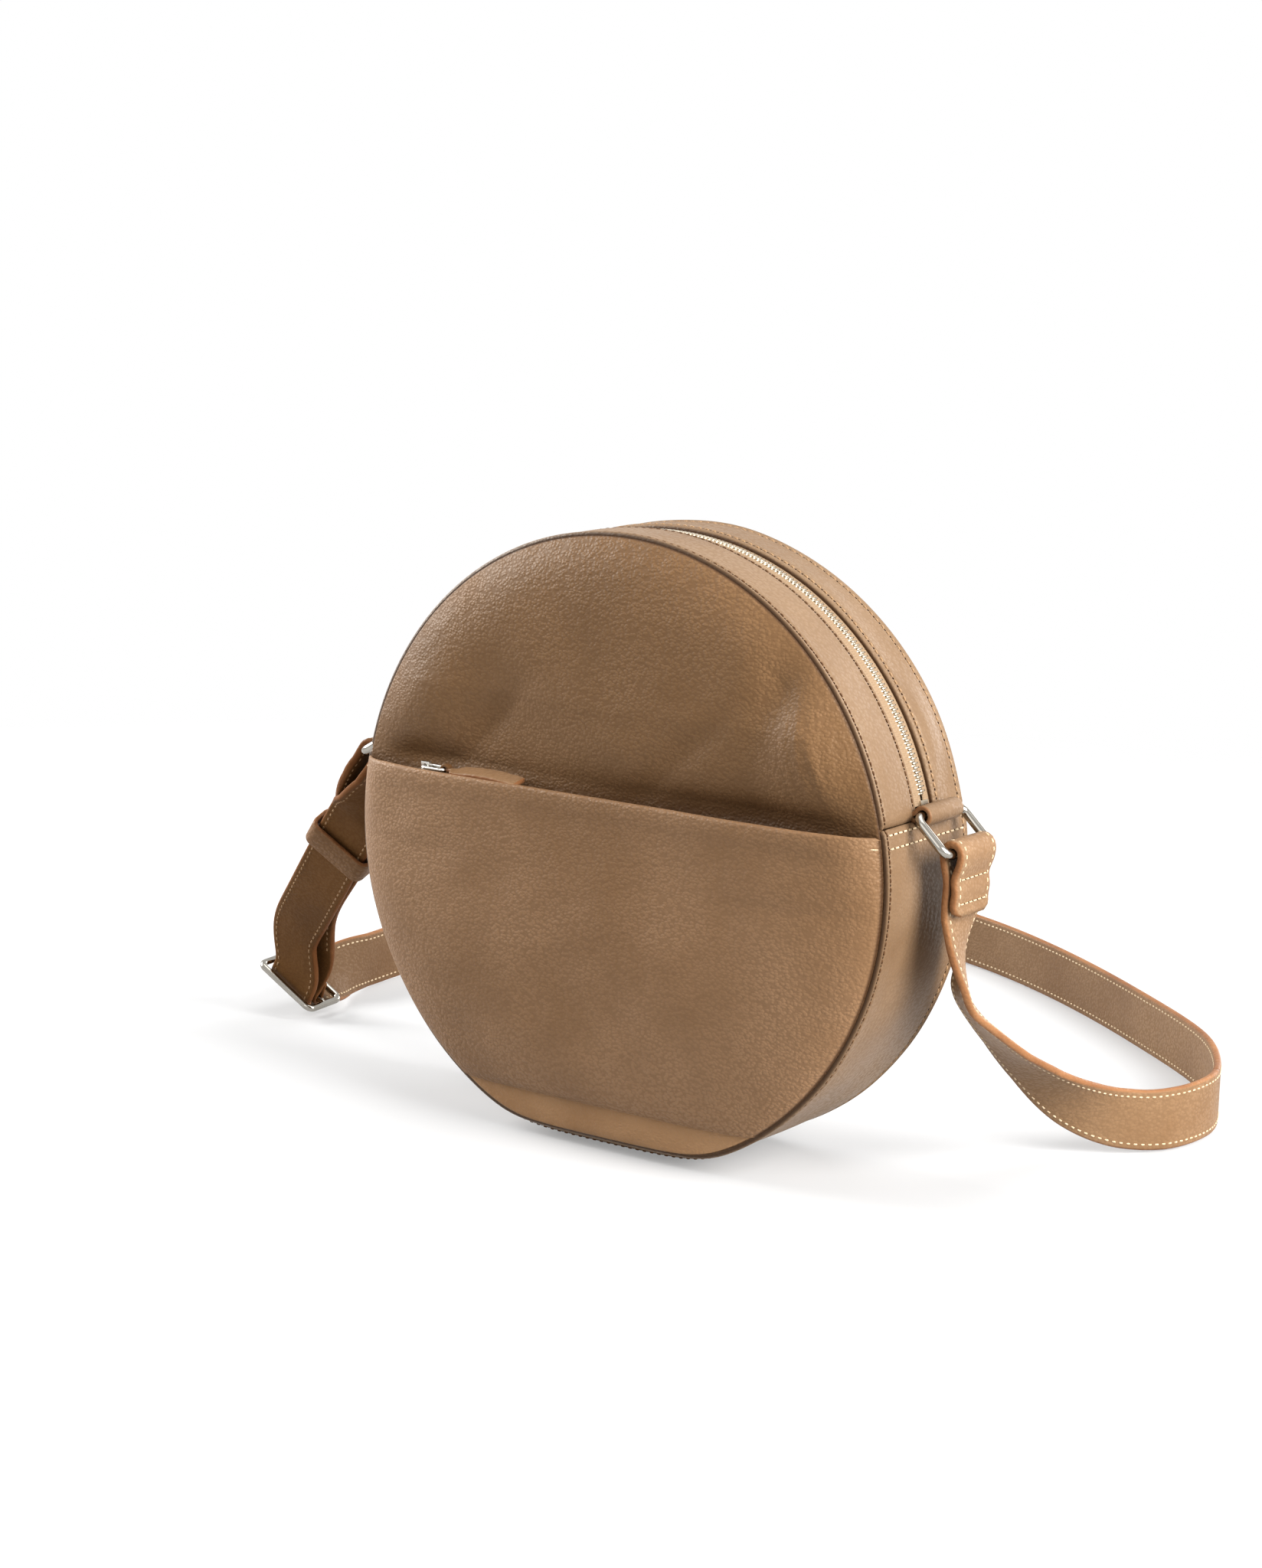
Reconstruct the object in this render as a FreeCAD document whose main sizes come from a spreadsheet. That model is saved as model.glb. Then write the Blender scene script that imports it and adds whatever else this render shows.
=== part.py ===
import FreeCAD, Part
import math
import os
import Sketcher
from FreeCAD import Placement, Rotation, Vector

doc = FreeCAD.newDocument("circle_bag")
sheet = doc.addObject("Spreadsheet::Sheet", "sheet")

# driving sizes in millimetres and degrees
sizes = {
    "bag_radius": 122.0,         # outside of the gusset
    "bag_depth": 59.0,           # seam to seam
    "centre_height": 119.0,      # bag centre above the floor, so the foot is pressed flat
    "leather": 1.8,
    "lining": 0.7,
    "lay_gap": 0.15,             # between layers that are sewn together
    "slide_gap": 0.35,           # between pieces that move on each other
    "panel_puff": 1.5,           # how far the panels stand out of their seam
    "puff_width": 26.0,          # width of the rounded edge of a panel
    "pocket_gap": 0.6,           # room in the pocket mouth beyond the width of the zip link
    "pocket_top": 22.0,          # pocket mouth above the bag centre
    "pocket_bottom": 20.0,       # pocket bottom seam above the floor
    "pocket_bend": 20.0,         # height of the rounded pocket bottom
    "seam_angle": 12.0,          # where lower gusset and zip strips meet
    "zip_shift": 4.0,            # zip lies this far behind the middle
    "strip_front_edge": 7.5,     # zip middle to the edge of the front strip
    "strip_back_edge": 4.7,      # zip middle to the edge of the back strip
    "tape_thick": 0.6,
    "tape_reach": 14.0,          # zip middle to the outer edge of a tape
    "chain_half": 2.6,
    "tooth_tall": 2.6,
    "tooth_long": 1.0,
    "tooth_cross": 1.0,          # how far a tooth passes the zip middle
    "tooth_pitch": 2.8,
    "slider_long": 11.0,
    "slider_half": 4.1,
    "plate": 1.2,
    "flange": 0.8,
    "post": 1.6,                 # width of the wedge and of the bail
    "zip_end_room": 9.0,         # seam to the first tooth along the zip
    "pocket_zip_room": 4.5,      # end of the pocket zip to where the pocket turns in to its seam
    "pocket_tape_over": 5.0,     # tape past the end of the pocket zip
    "pocket_chain_half": 2.0,
    "pocket_tooth_tall": 2.0,
    "pocket_slider_long": 9.0,
    "pocket_slider_half": 3.2,
    "pocket_slider_room": 3.0,   # slider at rest to the end of the pocket zip
    "pocket_tooth_room": 1.0,    # first tooth to the other end of the pocket zip
    "stop_long": 1.6,
    "stop_thick": 1.0,           # stops that lie on the tapes
    "stop_lift": 0.1,
    "stop_over": 1.0,            # stop past the edge of the teeth
    "stop_apart": 0.4,           # stop to the zip middle
    "stop_turn": 1.1,            # slider to its stops round the gusset
    "stop_room": 2.0,            # pocket stop to the end of the zip
    "stop_rest_room": 2.4,       # the same beside the slider at rest
    "link_wire": 1.6,
    "link_reach": 10.0,
    "link_span": 5.6,
    "link_corner": 1.5,
    "pull_long": 38.0,
    "pull_wide": 8.5,
    "pull_thick": 2.4,
    "pull_loop": 1.1,            # leather round the link
    "pull_shift": 2.6,           # pocket pull leans over the pocket edge
    "tab_wide": 24.0,
    "tab_depth": 6.0,            # tab leg sewn in below the gusset surface
    "ring_wire": 3.6,
    "ring_reach": 18.0,
    "ring_corner": 4.0,
    "ring_side_room": 3.4,       # strap edge to the middle of a ring side
    "strap_wide": 25.0,
    "strap_thick": 3.0,
    "strap_end_long": 24.0,
    "fold_long": 8.0,
    "floor_gap": 0.3,            # strap edge above the floor
    "keeper_long": 12.0,
    "keeper_wall": 1.8,
    "keeper_room": 1.8,          # keeper to the strap layers
    "layer_gap": 2.4,            # between the two layers in the keeper
    "buckle_wire": 3.0,
    "buckle_bar": 2.6,
    "buckle_reach": 20.0,
    "buckle_corner": 3.0,
    "buckle_side_room": 2.2,
    "skived": 1.4,               # thinned strap end round the adjuster bar
    "wrap_leg": 8.6,             # bar middle to where the full strap begins
}


class Size:
    # a number together with the sheet formula that gives it
    def __init__(self, text, value):
        self.text = text
        self.value = value

    def join(self, sign, other, swap=False):
        if not isinstance(other, Size):
            other = Size(repr(float(other)), float(other))
        a, b = (other, self) if swap else (self, other)
        result = {"+": a.value + b.value, "-": a.value - b.value, "*": a.value * b.value,
                  "/": a.value / b.value if b.value else 0.0}[sign]
        return Size("(" + a.text + " " + sign + " " + b.text + ")", result)

    def __add__(self, other):
        return self.join("+", other)

    def __radd__(self, other):
        return self.join("+", other, True)

    def __sub__(self, other):
        return self.join("-", other)

    def __rsub__(self, other):
        return self.join("-", other, True)

    def __mul__(self, other):
        return self.join("*", other)

    def __rmul__(self, other):
        return self.join("*", other, True)

    def __truediv__(self, other):
        return self.join("/", other)

    def __neg__(self):
        return self.join("*", -1.0)

    def root(self):
        return Size("sqrt(" + self.text + ")", math.sqrt(self.value))


for row, (alias, value) in enumerate(sizes.items(), start=1):
    sheet.set("A%d" % row, alias)
    sheet.set("B%d" % row, str(value))
    sheet.setAlias("B%d" % row, alias)
doc.recompute()
s = {alias: Size("sheet." + alias, value) for alias, value in sizes.items()}
zero = Size("0", 0.0)
nodes = {}


def number(size):
    return size.value if isinstance(size, Size) else float(size)


def bind(thing, name, size):
    if isinstance(size, Size):
        thing.setExpression(name, size.text)
    else:
        setattr(thing, name, size)


def put(thing, x=None, y=None, z=None, turn=None):
    # place an object, each coordinate tied to the sheet
    base = Vector(number(x or 0), number(y or 0), number(z or 0))
    thing.Placement = Placement(base, turn or Rotation())
    for axis, size in (("x", x), ("y", y), ("z", z)):
        if isinstance(size, Size):
            thing.setExpression("Placement.Base." + axis, size.text)
    return thing


def keep(label, thing):
    thing.Label = label
    nodes[label] = thing
    return thing


def box(name, xs, ys, zs):
    # box between two bounds on each axis
    made = doc.addObject("Part::Box", name)
    for side, (low, high) in zip(("Length", "Width", "Height"), (xs, ys, zs)):
        bind(made, side, high - low)
    return put(made, xs[0], ys[0], zs[0])


def drum(name, radius, front, back, start=0.0, sweep=None):
    # cylinder or sector about the bag axis, from the front y to the back y
    made = doc.addObject("Part::Cylinder", name)
    bind(made, "Radius", radius)
    bind(made, "Height", back - front)
    if sweep is not None:
        bind(made, "Angle", sweep)
    turn = Rotation(Vector(1, 0, 0), 90).multiply(Rotation(Vector(0, 0, 1), start))
    return put(made, zero, back, s["centre_height"], turn)


def cut(name, base, *tools):
    made = base
    for count, tool in enumerate(tools):
        step = doc.addObject("Part::Cut", name + "_cut%d" % count)
        step.Base = made
        step.Tool = tool
        made = step
    return made


def common(name, base, tool):
    made = doc.addObject("Part::Common", name)
    made.Base = base
    made.Tool = tool
    return made


def fuse(name, pieces):
    made = doc.addObject("Part::MultiFuse", name)
    made.Shapes = pieces
    made.Refine = True
    return made


def plane_of(body, role):
    return [plane for plane in body.Origin.OriginFeatures if plane.Role == role][0]


def sketch_on(body, role):
    made = body.newObject("Sketcher::SketchObject", body.Name + "_sketch")
    made.AttachmentSupport = [(plane_of(body, role), "")]
    made.MapMode = "FlatFace"
    return made


def tie(sketch, kind, parts, size):
    index = sketch.addConstraint(Sketcher.Constraint(kind, *parts, number(size)))
    if isinstance(size, Size):
        sketch.setExpression("Constraints[%d]" % index, size.text)


def outline(sketch, corners, bows=None):
    # closed outline through corners; a bow is an arc, given by one coordinate of its centre and by
    # its turning sense
    bows = bows or {}
    points = [Vector(number(x), number(y), 0) for x, y in corners]
    count = len(points)
    lines = []
    for i in range(count):
        a, b = points[i], points[(i + 1) % count]
        if i in bows:
            axis, place, left = bows[i]
            middle = (a + b) * 0.5
            normal = Vector(-(b - a).y, (b - a).x, 0)
            pull = number(place) - (middle.x if axis == "x" else middle.y)
            along = normal.x if axis == "x" else normal.y
            centre = middle + normal * (pull / along if abs(along) > 1e-9 else 0.0)
            circle = Part.Circle(centre, Vector(0, 0, 1), (a - centre).Length)
            first, last = (a, b) if left else (b, a)
            turn = [math.atan2(p.y - centre.y, p.x - centre.x) for p in (first, last)]
            if turn[1] <= turn[0]:
                turn[1] += 2 * math.pi
            geo = sketch.addGeometry(Part.ArcOfCircle(circle, turn[0], turn[1]), False)
            ends = (1, 2) if left else (2, 1)
            tie(sketch, "DistanceX" if axis == "x" else "DistanceY", (-1, 1, geo, 3), place)
        else:
            geo = sketch.addGeometry(Part.LineSegment(a, b), False)
            ends = (1, 2)
        lines.append((geo, ends))
    for i in range(count):
        geo, ends = lines[i]
        after, after_ends = lines[(i + 1) % count]
        sketch.addConstraint(Sketcher.Constraint("Coincident", geo, ends[1], after, after_ends[0]))
        tie(sketch, "DistanceX", (-1, 1, geo, ends[0]), corners[i][0])
        tie(sketch, "DistanceY", (-1, 1, geo, ends[0]), corners[i][1])


def rectangle(sketch, xs, ys):
    outline(sketch, [(xs[0], ys[0]), (xs[1], ys[0]), (xs[1], ys[1]), (xs[0], ys[1])])


def circle_in(sketch, x, y, radius):
    round_line = Part.Circle(Vector(number(x), number(y), 0), Vector(0, 0, 1), number(radius))
    geo = sketch.addGeometry(round_line, False)
    tie(sketch, "Radius", (geo,), radius)
    tie(sketch, "DistanceX", (-1, 1, geo, 3), x)
    tie(sketch, "DistanceY", (-1, 1, geo, 3), y)


def feature(body, kind, sketch, length):
    made = body.newObject("PartDesign::" + kind, body.Name + "_" + kind.lower())
    made.Profile = sketch
    if kind == "Revolution":
        made.ReferenceAxis = (sketch, ["V_Axis"])
        made.Angle = 360.0
    else:
        bind(made, "Length", length)
        made.SideType = "Symmetric"
    sketch.Visibility = False
    doc.recompute()
    return made


def new_body(name):
    return doc.addObject("PartDesign::Body", name)


def revolved(name, corners, bows):
    # solid turned about the bag axis; x is the radius and y the depth
    body = new_body(name)
    sketch = sketch_on(body, "XY_Plane")
    outline(sketch, corners, bows)
    feature(body, "Revolution", sketch, None)
    return put(body, zero, zero, s["centre_height"])


def computed(label, shape):
    made = doc.addObject("Part::Feature", label)
    made.Shape = shape
    return keep(label, made)


half_depth = s["bag_depth"] / 2
leather = s["leather"]
seam = sizes["seam_angle"]
upper_sweep = 180 - 2 * s["seam_angle"]
over = s["bag_radius"] * 2

# shell of the bag
floor_box = box("floor_box", (-over, over), (-over, over), (-over, zero))
inner_floor = box("inner_floor", (-over, over), (-over, over), (-over, leather))
band = cut("band", drum("band_outer", s["bag_radius"], -half_depth, half_depth), floor_box)
band_hole = cut("band_hole", drum("band_inner", s["bag_radius"] - leather, -over, over), inner_floor)
upper_wedge = drum("upper_wedge", over, -over, over, seam, upper_sweep)
keep("lower_gusset", cut("lower_gusset", band, band_hole, upper_wedge))

# tab legs pass through notches at both ends of the strips
leg_thick = 2 * leather
tab_hole = s["ring_wire"] / 2 + s["slide_gap"]
tab_outer = tab_hole + leather
tab_axis = s["bag_radius"] + s["slide_gap"] + tab_outer
notch_wide = s["tab_wide"] / 2 + s["lay_gap"]


def seam_turn(side):
    # local x along the radius of the seam, local y up along the gusset
    turn = Rotation(Vector(1, 0, 0), 90).multiply(Rotation(Vector(0, 0, 1), seam))
    return turn if side > 0 else Rotation(Vector(0, 0, 1), 180).multiply(turn)


notches = []
for side in (1, -1):
    notch = new_body("notch")
    sketch = sketch_on(notch, "XY_Plane")
    rectangle(sketch, (s["bag_radius"] - s["tab_depth"] * 2, tab_axis),
              (-s["lay_gap"], leg_thick + s["lay_gap"]))
    feature(notch, "Pad", sketch, notch_wide * 2)
    notches.append(put(notch, zero, s["zip_shift"], s["centre_height"], seam_turn(side)))

for name, front, back in (("upper_gusset_front", -half_depth, s["zip_shift"] - s["strip_front_edge"]),
                          ("upper_gusset_back", s["zip_shift"] + s["strip_back_edge"], half_depth)):
    strip = cut(name, drum(name + "_outer", s["bag_radius"], front, back, seam, upper_sweep),
                drum(name + "_inner", s["bag_radius"] - leather, -over, over), *notches)
    keep(name, strip)

# panels: flat middle and a rounded edge down to the seam
panel_radius = s["bag_radius"] - leather / 2
flat_radius = panel_radius - s["puff_width"]
panel_floor = box("panel_floor", (-over, over), (-over, over), (-over, leather / 2))


def panel_shell(name, sign, rim, thick, radius):
    # rim is the depth of the inner face at the seam; sign -1 is the front
    flat = rim + s["panel_puff"]
    outer_flat = sign * (flat + thick)
    corners = [(zero, sign * flat), (flat_radius, sign * flat), (radius, sign * rim),
               (radius, sign * (rim + thick)), (flat_radius, outer_flat), (zero, outer_flat)]
    return revolved(name, corners, {1: ("x", flat_radius, sign < 0), 3: ("x", flat_radius, sign > 0)})


for name, sign in (("front_panel", -1.0), ("back_panel", 1.0)):
    keep(name, cut(name, panel_shell(name + "_shell", sign, half_depth, leather, panel_radius), panel_floor))

lining_rim = half_depth - s["lining"] - s["lay_gap"]
lining_radius = s["bag_radius"] - leather - s["lay_gap"]
lining_floor = box("lining_floor", (-over, over), (-over, over), (-over, leather + s["lay_gap"]))
for name, sign in (("front_lining", -1.0), ("back_lining", 1.0)):
    shell = panel_shell(name + "_shell", sign, lining_rim, s["lining"], lining_radius)
    keep(name, cut(name, shell, lining_floor))
lining_half = lining_rim - s["lay_gap"]
lining_inner = box("lining_inner", (-over, over), (-over, over), (-over, leather + s["lay_gap"] + s["lining"]))
lining_band = cut("lining_band", drum("lining_outer", lining_radius, -lining_half, lining_half), lining_floor)
lining_hole = cut("lining_hole", drum("lining_bore", lining_radius - s["lining"], -over, over), lining_inner)
keep("gusset_lining", cut("gusset_lining", lining_band, lining_hole, upper_wedge))

# front pocket: a puffed shell over the lower front panel, open at the top
panel_face = half_depth + leather + s["panel_puff"]
pocket_deep = s["link_span"] + s["link_wire"] + s["pocket_gap"]
pocket_inner = panel_face + pocket_deep
pocket_outer = pocket_inner + leather
rim_face = half_depth + leather + s["lay_gap"]


def pocket_form(name, face, rim, bottom, radius):
    # round puffed block between a depth of the rim and the face, with a rounded bottom edge
    back = half_depth - leather
    puffed = revolved(name + "_puff", [(zero, -back), (radius, -back), (radius, -rim), (flat_radius, -face),
                                       (zero, -face)], {2: ("x", flat_radius, False)})
    body = new_body(name + "_bend")
    sketch = sketch_on(body, "YZ_Plane")
    top = s["centre_height"] * 2
    bend = bottom + s["pocket_bend"]
    outline(sketch, [(-back, bottom), (-back, top), (-face, top), (-face, bend), (-rim, bottom)],
            {3: ("y", bend, True)})
    feature(body, "Pad", sketch, over * 2)
    return common(name, puffed, body)


clear_face = panel_face + s["lay_gap"]
block_radius = panel_radius + s["puff_width"]
front_corners = [(zero, half_depth), (block_radius, half_depth), (block_radius, -rim_face),
                 (panel_radius, -rim_face), (flat_radius, -clear_face), (zero, -clear_face)]
front_block = revolved("front_block", front_corners, {3: ("x", flat_radius, False)})
pocket_block = pocket_form("pocket_block", pocket_outer, rim_face + leather, s["pocket_bottom"], panel_radius)
pocket_room = pocket_form("pocket_room", pocket_inner, rim_face, s["pocket_bottom"] + leather,
                          panel_radius - leather)
pocket_mouth = s["centre_height"] + s["pocket_top"]
above_pocket = box("above_pocket", (-over, over), (-over, over), (pocket_mouth, over * 2))
keep("front_pocket", cut("front_pocket", pocket_block, above_pocket, front_block, pocket_room))

# ring tabs: a leg sewn into the seam and a loop round the ring
for side, name in ((-1, "ring_tab_left"), (1, "ring_tab_right")):
    tab = new_body(name)
    sketch = sketch_on(tab, "XY_Plane")
    rectangle(sketch, (s["bag_radius"] - leather - s["tab_depth"], tab_axis), (zero, leg_thick))
    feature(tab, "Pad", sketch, s["tab_wide"])
    sketch = sketch_on(tab, "XY_Plane")
    circle_in(sketch, tab_axis, leg_thick / 2, tab_outer)
    feature(tab, "Pad", sketch, s["tab_wide"])
    sketch = sketch_on(tab, "XY_Plane")
    circle_in(sketch, tab_axis, leg_thick / 2, tab_hole)
    feature(tab, "Pocket", sketch, s["tab_wide"] * 2)
    keep(name, put(tab, zero, s["zip_shift"], s["centre_height"], seam_turn(side)))


def wire_loop(name, wire, span, reach, corner, extra_bar=None):
    # rounded rectangle of round wire; one long side on the y axis, the other at x = reach
    radius = wire / 2
    half = span / 2
    pieces = []
    for x in (zero, reach):
        pieces.append(("bar", x, -(half - corner), span - 2 * corner, Rotation(Vector(1, 0, 0), -90)))
    for y in (-half, half):
        pieces.append(("side", corner, y, reach - 2 * corner, Rotation(Vector(0, 1, 0), 90)))
    made = []
    for kind, x, y, length, turn in pieces:
        rod = doc.addObject("Part::Cylinder", name + "_" + kind)
        bind(rod, "Radius", radius)
        bind(rod, "Height", length)
        made.append(put(rod, x, y, zero, turn))
    for x, y, start in ((corner, -(half - corner), 180), (reach - corner, -(half - corner), 270),
                        (reach - corner, half - corner, 0), (corner, half - corner, 90)):
        bend = doc.addObject("Part::Torus", name + "_bend")
        bind(bend, "Radius1", corner)
        bind(bend, "Radius2", radius)
        bend.Angle3 = 90
        made.append(put(bend, x, y, zero, Rotation(Vector(0, 0, 1), start)))
    if extra_bar is not None:
        rod = doc.addObject("Part::Cylinder", name + "_middle")
        bind(rod, "Radius", extra_bar / 2)
        bind(rod, "Height", span)
        made.append(put(rod, reach / 2, -half, zero, Rotation(Vector(1, 0, 0), -90)))
    return fuse(name, made)


# rings hang from the tabs, each turned to where it lies
ring_span = s["strap_wide"] + 2 * s["ring_side_room"]
ring_lean = {1: 43.0, -1: 149.0}
reach_to = {}
for side, name in ((-1, "ring_left"), (1, "ring_right")):
    local = Vector(tab_axis.value, leg_thick.value / 2, 0)
    hole = seam_turn(side).multVec(local) + Vector(0, sizes["zip_shift"], sizes["centre_height"])
    ring = wire_loop(name, s["ring_wire"], ring_span, s["ring_reach"], s["ring_corner"])
    lean = Rotation(Vector(0, 1, 0), ring_lean[side])
    ring.Placement = Placement(hole, lean)
    keep(name, ring)
    reach_to[side] = hole + lean.multVec(Vector(sizes["ring_reach"], 0, 0))
    print(name, "hinge", hole, "outer bar", reach_to[side])

# right strap end: folded round the ring and sewn to itself
strap_hole = s["ring_wire"] / 2 + s["slide_gap"]
strap_loop = strap_hole + s["strap_thick"]
end = new_body("strap_end_right")
sketch = sketch_on(end, "XZ_Plane")
rectangle(sketch, (-s["strap_thick"] * 1.2, s["strap_thick"] * 0.8), (-s["strap_end_long"], zero))
feature(end, "Pad", sketch, s["strap_wide"])
sketch = sketch_on(end, "XZ_Plane")
circle_in(sketch, zero, zero, strap_loop)
feature(end, "Pad", sketch, s["strap_wide"])
sketch = sketch_on(end, "XZ_Plane")
circle_in(sketch, zero, zero, strap_hole)
feature(end, "Pocket", sketch, s["strap_wide"] * 2)
end.Placement = Placement(reach_to[1], Rotation())
keep("strap_end_right", end)

# left fold: the strap turns round the ring and both layers leave side by side
fold = new_body("strap_fold_left")
sketch = sketch_on(fold, "XZ_Plane")
fold_long = s["fold_long"]
fold_corners = [(zero, strap_loop), (fold_long, strap_loop), (fold_long, strap_hole), (zero, strap_hole),
                (zero, -strap_hole), (fold_long, -strap_hole), (fold_long, -strap_loop), (zero, -strap_loop)]
outline(sketch, fold_corners, {3: ("x", zero, True), 7: ("x", zero, False)})
feature(fold, "Pad", sketch, s["strap_wide"])
fold_turn = Rotation(Vector(0, 1, 0), 125.0)
fold.Placement = Placement(reach_to[-1], fold_turn)
keep("strap_fold_left", fold)


def strap_path(stations, leave, arrive):
    # smooth line through hand-chosen middle points, each with the direction across the strap
    points = [Vector(*point) for point, across in stations]
    places = [0.0]
    for a, b in zip(points, points[1:]):
        places.append(places[-1] + math.sqrt((b - a).Length))
    line = Part.BSplineCurve()
    line.interpolate(Points=points, Parameters=places, Scale=False,
                     InitialTangent=leave * (places[1] - places[0]),
                     FinalTangent=arrive * (places[-1] - places[-2]))
    return line, places, [Vector(*across).normalize() for point, across in stations]


def strap_frame(path, t):
    # middle, direction along, direction across and direction through the strap
    line, places, directions = path
    along = line.tangent(t)[0]
    k = max(j for j in range(len(places) - 1) if places[j] <= t)
    share = (t - places[k]) / (places[k + 1] - places[k])
    across = directions[k] * (1 - share) + directions[k + 1] * share
    across = (across - along * across.dot(along)).normalize()
    return line.value(t), along, across, along.cross(across).normalize()


def strap_piece(label, path, first, last, step):
    # flat strap between two of the chosen points
    line, places, directions = path
    start, finish = places[first], places[last]
    length = line.length(start, finish)
    count = max(4, int(length / step))
    rows = []
    for i in range(count + 1):
        t = finish if i == count else line.parameterAtDistance(length * i / count, start) if i else start
        middle, along, across, through = strap_frame(path, t)
        wide = across * (sizes["strap_wide"] / 2)
        deep = through * (sizes["strap_thick"] / 2)
        corners = [middle + wide + deep, middle - wide + deep, middle - wide - deep, middle + wide - deep]
        rows.append(Part.makePolygon(corners + corners[:1]))
    solid = Part.makeLoft(rows, True, True)
    if solid.Volume < 0:
        solid.reverse()
    print(label, "length", round(length, 1), "lowest", round(solid.BoundBox.ZMin, 2))
    return computed(label, solid)


# adjuster frame: long side across the strap, leaning to the left
buckle_across = Vector(0.86, 0.02, -0.5).normalize()
buckle_along = Vector(0.0, 1.0, 0.06)
buckle_along = (buckle_along - buckle_across * buckle_along.dot(buckle_across)).normalize()
buckle_down = buckle_along.cross(buckle_across).normalize()
buckle_span = s["strap_wide"] + 2 * s["buckle_side_room"] + s["buckle_wire"]
gap = sizes["slide_gap"]
wrap_outer = sizes["buckle_bar"] / 2 + gap + sizes["skived"]
pass_under = wrap_outer + 1.3 + sizes["strap_thick"] / 2
under_bar = pass_under + sizes["strap_thick"]
buckle_low = sizes["strap_wide"] / 2 * abs(buckle_across.z) + under_bar * abs(buckle_down.z)
buckle_middle = Vector(-226, 51, buckle_low + sizes["floor_gap"])
frame_turn = Rotation(buckle_along, buckle_across, buckle_down, "XYZ")
buckle = wire_loop("buckle_frame", s["buckle_wire"], buckle_span, s["buckle_reach"], s["buckle_corner"],
                   s["buckle_bar"])
buckle.Placement = Placement(buckle_middle - buckle_along * (sizes["buckle_reach"] / 2), frame_turn)
keep("buckle_frame", buckle)
print("buckle", buckle_middle, "across", buckle_across)


def by_buckle(along, up):
    return tuple(buckle_middle + buckle_along * along - buckle_down * up)


stand = sizes["strap_wide"] / 2 + sizes["floor_gap"]
down = (0, 0, -1)
across = tuple(buckle_across)
half_reach = sizes["buckle_reach"] / 2
wrap_leg = sizes["wrap_leg"]
pass_down = (wrap_outer + half_reach - sizes["buckle_wire"] / 2) / 2
end_foot = reach_to[1] + Vector(-0.7 * sizes["strap_thick"], 0, -sizes["strap_end_long"] - gap)
fold_along = fold_turn.multVec(Vector(1, 0, 0))
fold_side = fold_turn.multVec(Vector(0, 0, 1))
layer = strap_hole.value + sizes["strap_thick"] / 2


def by_fold(side, further=0.0):
    return tuple(reach_to[-1] + fold_along * (sizes["fold_long"] + gap + further) + fold_side * (layer * side))


# both layers run straight and side by side through the keeper
keeper_spot = Vector(-174, 16, 88)
keeper_along = Vector(0.643, -0.279, 0.714).normalize()
keeper_across = Vector(0.96, 0.1, -0.22)
keeper_across = (keeper_across - keeper_along * keeper_across.dot(keeper_along)).normalize()
keeper_through = keeper_along.cross(keeper_across)
layer_step = s["strap_thick"] + s["layer_gap"]
held_half = sizes["keeper_long"] * 0.75
held_across = tuple(keeper_across)


def by_keeper(step, along):
    return tuple(keeper_spot + keeper_through * (layer_step.value * step) + keeper_along * (held_half * along))


# the strap from the right ring over the floor and through the adjuster up to the left ring
strap = strap_path([
    (tuple(end_foot), (0, 1, 0)),
    ((133.6, 5.5, 98), (-0.3, 0.95, -0.05)),
    ((133, 10, 85.2), (-0.5, 0.85, -0.15)),
    ((131.7, 16, 75), (-0.56, 0.8, -0.25)),
    ((132.4, 28, 62.8), (-0.55, 0.75, -0.4)),
    ((134.8, 44, 48.7), (-0.45, 0.55, -0.7)),
    ((138.9, 62, 34.3), (-0.3, 0.3, -0.9)),
    ((146.7, 80, 21.5), (-0.15, 0.1, -1)),
    ((158, 98, 14.2), down),
    ((169, 115, stand), down),
    ((173.5, 136, stand), down),
    ((171, 153, stand), down),
    ((160, 176, stand), down),
    ((140, 203, stand), down),
    ((98, 239, stand), down),
    ((57, 270, stand), down),
    ((-1, 307, stand), down),
    ((-62, 333, stand), down),
    ((-120, 338, stand), down),
    ((-175, 310, stand), down),
    ((-212, 255, stand), down),
    ((-230, 190, stand), down),
    ((-234, 130, stand), down),
    ((-232, 104, stand), down),
    ((-230, 84, stand), (0.3, 0, -1)),
    (by_buckle(half_reach + 4, -pass_under), across),
    (by_buckle(pass_down * 0.6, -pass_under), across),
    (by_buckle(-pass_down * 0.5, -pass_under * 0.8), across),
    (by_buckle(-pass_down, 0), across),
    (by_buckle(-pass_down - 0.5, 7), across),
    ((-221, 42.5, 29), (0.82, 0.04, -0.5)),
    ((-219, 39.5, 39), (0.88, 0.05, -0.42)),
    ((-209, 33.5, 51), (0.93, 0.05, -0.3)),
    ((-193, 24, 68), (0.96, 0.05, -0.25)),
    (by_keeper(0, -1), held_across),
    (by_keeper(0, 1), held_across),
    ((-150.5, 6, 113.5), (0.6, 0.8, -0.1)),
    (by_fold(1, 5), (0.05, 1, 0)),
    (by_fold(1, 0.3), (0, 1, 0)),
], Vector(*down), -fold_along)
strap_piece("strap_right_fall", strap, 0, 10, 6.0)
strap_piece("strap_long_run", strap, 10, 24, 11.0)
strap_piece("strap_threaded", strap, 24, 30, 2.5)
strap_piece("strap_inner_layer", strap, 30, 38, 5.0)

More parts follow.
